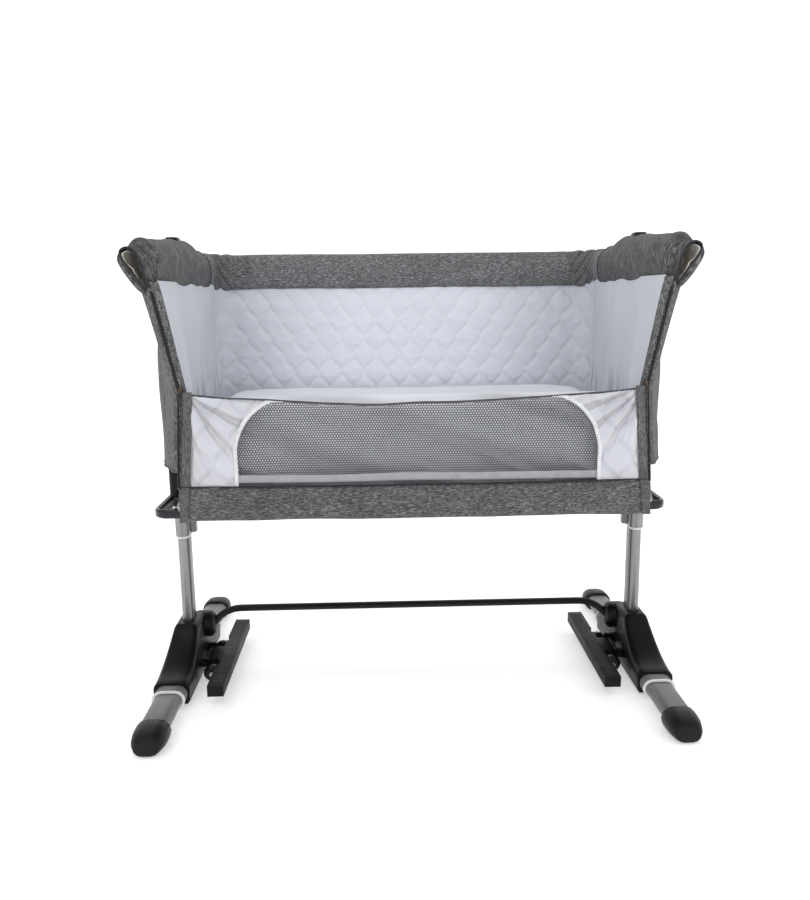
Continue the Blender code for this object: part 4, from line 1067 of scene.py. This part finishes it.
def panel_quilt(label, side):
    """White quilting between the side tape and the window."""
    t = np.linspace(0, 1, 90)
    s = np.linspace(0, 1, 110)
    rows = []
    for share in s:
        z_guess = BAND_TOP - 0.004 + share * (FOLD_Z - 0.0110 - BAND_TOP + 0.004)
        outer = side * (panel_half(z_guess) - TAPE_WIDTH + 0.002)
        inner = window_edge(z_guess, side)
        x = outer + (inner - outer) * t
        top = fold_z(x) - 0.001
        z = BAND_TOP - 0.004 + share * (top - BAND_TOP + 0.004)
        rows.append(np.column_stack([x, z]))
    rows = np.array(rows)
    x, z = rows[..., 0], rows[..., 1]
    border = np.minimum(ease(t[None, :] + 0 * x, 0.0, 0.10), ease(-t[None, :] + 0 * x, -1.0, -0.90))
    hang = panel_y(x, z)
    y = hang - quilt_puff(x, z - FOLD_Z, 0.0042) * border
    points = np.stack([x, y, z], axis=-1)
    shade = np.clip(-1.6 * tilt(hang, z) - 0.04, 0, 0.75)
    cloth = np.stack([x, z - FOLD_Z, shade], axis=-1)
    made = surface(f"panel_quilt_{label}", points, "panel_quilt", "drop_side", thickness=0.003,
                   side=0.0, cloth=cloth)


def panel_binding(label, side):
    """Woven binding up one side of the window and round its curve to the fold."""
    z = np.linspace(WINDOW_LOW - 0.002, FOLD_Z - 0.008, 120)
    line = np.column_stack([window_edge(z, side), z])
    heading = unit(np.gradient(line, axis=0))
    outward = np.column_stack([heading[:, 1], -heading[:, 0]]) * side
    rows = []
    for reach, lift in BINDING_SECTION:
        at = line + outward * reach
        at[:, 1] = np.minimum(at[:, 1], fold_z(at[:, 0]) - 0.0006)
        y = panel_y(at[:, 0], at[:, 1]) - 0.0030 - lift
        rows.append(np.column_stack([at[:, 0], y, at[:, 1]]))
    surface(f"window_binding_{label}", np.array(rows), "binding", "drop_side", thickness=0.0010)


def net_stretch(x, z):
    """From 0 to 1, how far the net is drawn out: bands that slant down to the right."""
    slant = np.asarray(x, float) * 0.55 + np.asarray(z, float)
    wave = np.sin(slant * 95 + 2.2 * soft_noise(x * 7, z * 9, 86))
    return ease(wave, 0.30, 0.95) * ease(soft_noise(x * 11 + 3, z * 8, 87), -0.9, 0.0)


def panel_net():
    """Hexagonal net: real holes, kept a little inside the binding."""
    across, rise = NET_PITCH, NET_PITCH * math.sqrt(3) / 2
    ring = [(math.sin(a), math.cos(a)) for a in np.radians(np.arange(0, 360, 60))]
    outer = NET_PITCH / math.sqrt(3)
    index, vertices, faces = {}, [], []

    def vertex(x, z):
        key = (round(x * 2e4), round(z * 2e4))
        if key not in index:
            index[key] = len(vertices)
            vertices.append((x, z))
        return index[key]

    rows = int((FOLD_Z - WINDOW_LOW) / rise) + 2
    columns = int((WINDOW_RIGHT - WINDOW_LEFT) / across) + 2
    for row in range(-1, rows):
        z = WINDOW_LOW + row * rise
        for column in range(columns):
            x = WINDOW_LEFT + (column + 0.5 * (row % 2)) * across
            inside = window_edge(z, -1) - 0.002 < x < window_edge(z, 1) + 0.002
            if not inside or z > fold_z(x) - 0.001:
                continue
            # drawn out in slanting bands, where the holes close
            inner = outer * (HOLE_SHARE - HOLE_CLOSING * float(net_stretch(x, z)))
            far = [vertex(x + outer * a, z + outer * b) for a, b in ring]
            near = [vertex(x + inner * a, z + inner * b) for a, b in ring]
            faces += [(far[k], far[(k + 1) % 6], near[(k + 1) % 6], near[k]) for k in range(6)]
    flat = np.array(vertices)
    y = panel_y(flat[:, 0], flat[:, 1]) - 0.0008
    made = object_from("window_net", np.column_stack([flat[:, 0], y, flat[:, 1]]), faces, "net")
    add_cloth_layer(made, np.column_stack([flat, net_stretch(flat[:, 0], flat[:, 1])]))
    settle(made, "drop_side")


def panel_strap():
    """Pale strap along the foot of the window, behind the net."""
    x = np.linspace(WINDOW_LEFT - 0.004, WINDOW_RIGHT + 0.004, 160)
    low, high = BAND_TOP + 0.0040, BAND_TOP + 0.0165
    rows = []
    for share in np.linspace(0, 1, 6):
        z = low + (high - low) * share + 0.0010 * soft_noise(x * 8, 0 * x + 1, 91)
        rows.append(np.column_stack([x, panel_y(x, z) - 0.0020, z]))
    surface("window_strap", np.array(rows), "strap", "drop_side", thickness=0.0008)


def panel_tape(label, side):
    """Heather tape down the panel's side, with a stitch line."""
    z = np.linspace(PANEL_LOW.z + 0.0055, FOLD_Z + 0.004, 90)
    rows = []
    for share in (0.0, 0.1, 0.5, 0.9, 1.0):
        x = side * (panel_half(z) - TAPE_WIDTH * (1 - share) + 0.0004 * soft_noise(z * 30, 0 * z, 95))
        bow = 0.0012 if 0.05 < share < 0.95 else 0.0
        upper = (PANEL_LOW.y + PANEL_HIGH.y) / 2 - 0.0062 + 0.0008 * soft_noise(z * 22, 0 * z + share, 96)
        front = FRONT_RAIL_Y - 0.0150 + 0 * z
        front = front + (upper - front) * ease(z, BAND_TOP - 0.012, BAND_TOP + 0.006)
        rows.append(np.column_stack([x, front - bow, z]))
    surface(f"panel_tape_{label}", np.array(rows), "tape", "drop_side", thickness=0.0018, side=side)


def panel_fold():
    """Piping along the fold."""
    x = np.linspace(-PANEL_HALF_TOP, PANEL_HALF_TOP, 200)
    z = fold_z(x)
    line = np.column_stack([x, panel_y(x, z) - 0.0004, z])
    radius = 0.0018 + 0.0003 * soft_noise(x * 60, 0 * x, 97)
    tube("fold_piping", line, radius, "piping", "drop_side", 8)


def panel_band():
    """Heather sleeve over the drop side's rail, with a wavy lower edge."""
    half = PANEL_HALF_LOW - 0.001
    x = np.linspace(-half, half, BAND_ROWS)
    across, up = squared(full_turn(BAND_POINTS), 0.0125, BAND_HALF_TALL, 0.55, 0.75)
    up = np.where(up < 0, up * 0.88, up)
    xx = np.repeat(x[:, None], BAND_POINTS, axis=1)
    ends = ease(-np.abs(xx), -half, -half + 0.03)
    low = np.clip(-up / BAND_HALF_TALL, 0, 1)[None, :]
    high = np.clip(up / BAND_HALF_TALL, 0, 1)[None, :]
    waves = (0.0022 * low * soft_noise(xx * 12, 0 * xx + 4, 101)
             + 0.0006 * soft_noise(xx * 16, 0 * xx + 8, 102))
    z = FRONT_RAIL_Z + 0.001 + up[None, :] + ends * waves
    z = z - ends * high * 0.0022 * (1 - (xx / half) ** 2)
    y = FRONT_RAIL_Y + across[None, :] * (1 + 0.10 * soft_noise(xx * 14, z * 28, 103))
    y = y - 0.0008 * np.where(across < 0, 1, 0)[None, :] * soft_noise(xx * 40 + z * 50, z * 60, 104)
    points = np.stack([xx, y, z], axis=-1)
    faces = closed_faces(BAND_ROWS, BAND_POINTS)
    made = object_from("front_band", points.reshape(-1, 3), faces, "heather_front")
    settle(made, "drop_side")
    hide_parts("front_panel")
    seam_z = (BAND_TOP + 0.0008 - 0.0022 * (1 - (x / half) ** 2)
              + 0.0006 * soft_noise(x * 16, 0 * x + 8, 102))
    line = np.column_stack([x, FRONT_RAIL_Y - 0.0085 + 0 * x, seam_z])
    tube("band_top_seam", line, 0.0012, "rim", "drop_side", 6)


# ---- stand -------------------------------------------------------------------------------
def dress(name, look, bevel=0.0):
    """A CAD node keeps its shape, with softened edges, smooth faces and a better finish."""
    node = nodes[name]
    node.data.materials.clear()
    node.data.materials.append(LOOKS[look])
    node.data.shade_smooth()
    if bevel:
        weld = node.modifiers.new("weld", "WELD")
        weld.merge_threshold = 0.00002
        soft = node.modifiers.new("soft_edges", "BEVEL")
        soft.width = bevel
        soft.segments = 2
        soft.limit_method = "ANGLE"
        soft.angle_limit = math.radians(38)
        soft.harden_normals = True


SLIDER_SIDES = 16
SLIDER_PROFILE = [(0.0095, 0.8), (0.0088, 1.0), (0.0045, 0.85), (0.0010, 1.0), (0.0, 0.75)]


def zip_pull(label, side):
    """Small brass slider with its pull hanging below."""
    low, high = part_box(f"zip_slider_{label}")
    centre = (low + high) / 2
    x, y = squared(full_turn(SLIDER_SIDES), 0.0036, 0.0024, 0.6, 0.6)
    rings = [np.column_stack([centre.x + x * share, centre.y + y * share, 0 * x + high.z - drop])
             for drop, share in SLIDER_PROFILE]
    faces = closed_faces(len(rings), SLIDER_SIDES)
    body = object_from(f"zip_slider_body_{label}", np.vstack(rings), faces, "brass")
    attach(body, f"zip_slider_{label}")
    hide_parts(f"zip_slider_{label}")
    pull = smooth_line([(centre.x - 0.0010, low.y - 0.0012, high.z - 0.006),
                        (centre.x - 0.0022, low.y - 0.0016, high.z - 0.016),
                        (centre.x - side * 0.0004, low.y - 0.0010, low.z + 0.0060),
                        (centre.x + 0.0022, low.y - 0.0016, high.z - 0.016),
                        (centre.x + 0.0010, low.y - 0.0012, high.z - 0.006)], 40)
    tube(f"zip_pull_{label}", pull, 0.0007, "brass", f"zip_slider_{label}", 6)


def pedal_tread(label, side):
    """Low cross ribs moulded on the pedal's top face, which rounds down at both ends."""
    low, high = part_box(f"pedal_{label}")
    inner = min(abs(low.x), abs(high.x))
    outer = min(abs(corner.x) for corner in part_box(f"wheel_front_{label}")) + 0.004
    ends = (low.y + 0.004, high.y - 0.004)
    y = np.linspace(ends[0], ends[1], 330)
    across = np.linspace(inner + 0.0018, outer - 0.0018, 8)
    yy, xx = np.meshgrid(y, across, indexing="ij")
    rib = np.maximum(np.cos((yy - ends[0]) * 2 * math.pi / 0.027), 0) ** 10
    drop = 0.0010 * (ease(yy, ends[0] + 0.012, ends[0]) + ease(yy, ends[1] - 0.012, ends[1]))
    edge = np.minimum(xx - across[0], across[-1] - xx)
    z = high.z + 0.0003 + 0.0003 * rib - drop - 0.0010 * (edge < 0.0002)
    surface(f"pedal_tread_{label}", flipped(np.stack([xx, yy, z], axis=-1), side), "pedal",
            f"pedal_{label}")


WEB_POINTS = 64


def ring_web(label):
    """Thin web that fills the grip of the release ring round its post."""
    low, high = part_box(f"release_ring_{label}")
    sleeve_low, sleeve_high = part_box(f"post_sleeve_{label}")
    angle = full_turn(WEB_POINTS)

    def loop(corner_low, corner_high, margin, power):
        centre, half = (corner_low + corner_high) / 2, (corner_high - corner_low) / 2
        x, y = squared(angle, half.x + margin, half.y + margin, power, power)
        return np.column_stack([centre.x + x, centre.y + y])

    outer = loop(low, high, -0.0040, 0.5)
    inner = loop(sleeve_low, sleeve_high, 0.0022, 0.35)
    rows = []
    for share in np.linspace(0, 1, 6):
        ring = outer * (1 - share) + inner * share
        dish = 0.0035 * math.sin(math.pi * share)
        rows.append(np.column_stack([ring, np.full(WEB_POINTS, low.z + 0.0085 - dish)]))
    surface(f"release_ring_web_{label}", np.array(rows), "black", f"release_ring_{label}", wrap=True,
            thickness=0.0016, side=0.0)


# the look and the softened edge of each CAD node that stays as it is
ON_EACH_SIDE = {
    "base_housing": ("black", 0.0010), "foot_sleeve": ("foot", 0.0004), "post_inner": ("post", 0.0003),
    "post_sleeve": ("post_sleeve", 0.0004), "post_head": ("black", 0.0010),
    "release_ring": ("ring", 0.0012), "rail_joint": ("black", 0.0008), "pedal": ("pedal", 0.0008),
    "pedal_spring": ("steel", 0.0), "wheel_axle": ("steel", 0.0002), "lock_pin": ("steel", 0.0002),
    "side_rail": ("steel", 0.0), "sleeve_bushing": ("cream", 0.0004),
}
AT_EACH_END = {
    "foot_tube": ("foot", 0.0004), "foot_cap": ("rubber", 0.0010), "foot_bushing": ("cream", 0.0004),
    "wheel": ("wheel", 0.0006),
}
ACROSS = {
    "crossbar": ("bar", 0.0), "back_rail": ("steel", 0.0), "lower_frame": ("steel", 0.0),
    "front_rail": ("steel", 0.0), "base_board": ("board", 0.0010),
}


def dress_stand():
    for label, side in SIDES.items():
        for name, finish in ON_EACH_SIDE.items():
            dress(f"{name}_{label}", *finish)
        for name, finish in AT_EACH_END.items():
            for end in ENDS:
                dress(f"{name}_{end}_{label}", *finish)
        zip_pull(label, side)
        ring_web(label)
    for name, finish in ACROSS.items():
        dress(name, *finish)


# ---- studio ------------------------------------------------------------------------------
def camera():
    """Straight on to the drop side, from a little above the rail."""
    yaw, pitch, roll = math.radians(1.455), math.radians(10.579), math.radians(-0.7245)
    ahead = Vector((math.sin(yaw), math.cos(yaw), 0.0))
    right = Vector((math.cos(yaw), -math.sin(yaw), 0.0))
    above = Vector((0.0, 0.0, 1.0))
    forward = ahead * math.cos(pitch) - above * math.sin(pitch)
    upward = ahead * math.sin(pitch) + above * math.cos(pitch)
    turned_right = right * math.cos(roll) + upward * math.sin(roll)
    turned_up = upward * math.cos(roll) - right * math.sin(roll)
    made = bpy.data.cameras.new("camera")
    made.sensor_width = 36.0
    made.lens = 34.06
    made.clip_start = 0.05
    holder = add_object("camera", made)
    matrix = Matrix((turned_right, turned_up, -forward)).transposed().to_4x4()
    matrix.translation = (-0.0501, -1.609, 0.7421)
    holder.matrix_world = matrix
    bpy.context.scene.camera = holder


def area_light(name, place, target, size, power, color=(1, 1, 1)):
    data = bpy.data.lights.new(name, "AREA")
    data.shape = "RECTANGLE"
    data.size, data.size_y = size
    data.energy = power
    data.color = color
    holder = add_object(name, data)
    holder.location = place
    holder.rotation_euler = (Vector(target) - Vector(place)).to_track_quat("-Z", "Y").to_euler()


def studio():
    """White floor that sweeps up into a backdrop, a large soft light above and in front."""
    half, front, bend_from, bend, rise = 6.0, -5.0, 1.6, 1.4, 4.0
    profile = [(front, 0.0), (bend_from, 0.0)]
    profile += [(bend_from + bend * math.sin(a), bend - bend * math.cos(a))
                for a in np.linspace(0, math.pi / 2, 14)[1:]]
    profile.append((bend_from + bend, rise))
    rows = np.array([[(x, y, z - 0.0005) for x in (-half, half)] for y, z in profile])
    look = Look("white_sweep", 0.95)
    shade = look.noise(look.place(), 2.0, 3.0)
    look.color(look.ramp(shade, (0.0, (0.90, 0.90, 0.90)), (1.0, (0.93, 0.93, 0.93))))
    look.shader.inputs["Emission Color"].default_value = (1.0, 1.0, 1.0, 1.0)
    look.shader.inputs["Emission Strength"].default_value = 0.42
    LOOKS["sweep"] = look.material
    sweep = object_from("studio_sweep", rows.reshape(-1, 3), quads(len(profile), 2, False), "sweep")
    world = bpy.data.worlds.new("studio")
    world.use_nodes = True
    background = world.node_tree.nodes["Background"]
    background.inputs["Color"].default_value = (0.97, 0.98, 1.0, 1.0)
    background.inputs["Strength"].default_value = 0.72
    bpy.context.scene.world = world
    area_light("key", (-0.6, -2.4, 2.7), (0.0, 0.0, 0.5), (2.2, 1.6), 21.0, (1.0, 0.99, 0.98))
    area_light("fill", (1.8, -1.8, 1.3), (0.0, 0.0, 0.4), (1.2, 1.6), 7.0)
    area_light("back", (0.0, 1.9, 2.4), (0.0, 0.0, 0.5), (2.6, 1.2), 14.0)
    scene = bpy.context.scene
    scene.view_settings.view_transform = "Standard"
    scene.view_settings.look = "None"


def build():
    back_quilt()
    mattress()
    floor_lining()
    back_cover()
    back_band()
    front_wall()
    for label, side in SIDES.items():
        side_lining(label, side)
        side_cover(label, side)
        side_sleeve(label, side)
        corner_sleeve(label, side)
        front_facing(label, side)
        front_zip(label, side)
        front_gusset(label, side)
        panel_quilt(label, side)
        panel_tape(label, side)
        panel_binding(label, side)
        pedal_tread(label, side)
    panel_net()
    panel_strap()
    panel_fold()
    panel_band()
    dress_stand()
    studio()
    camera()


build()
bpy.context.view_layer.update()
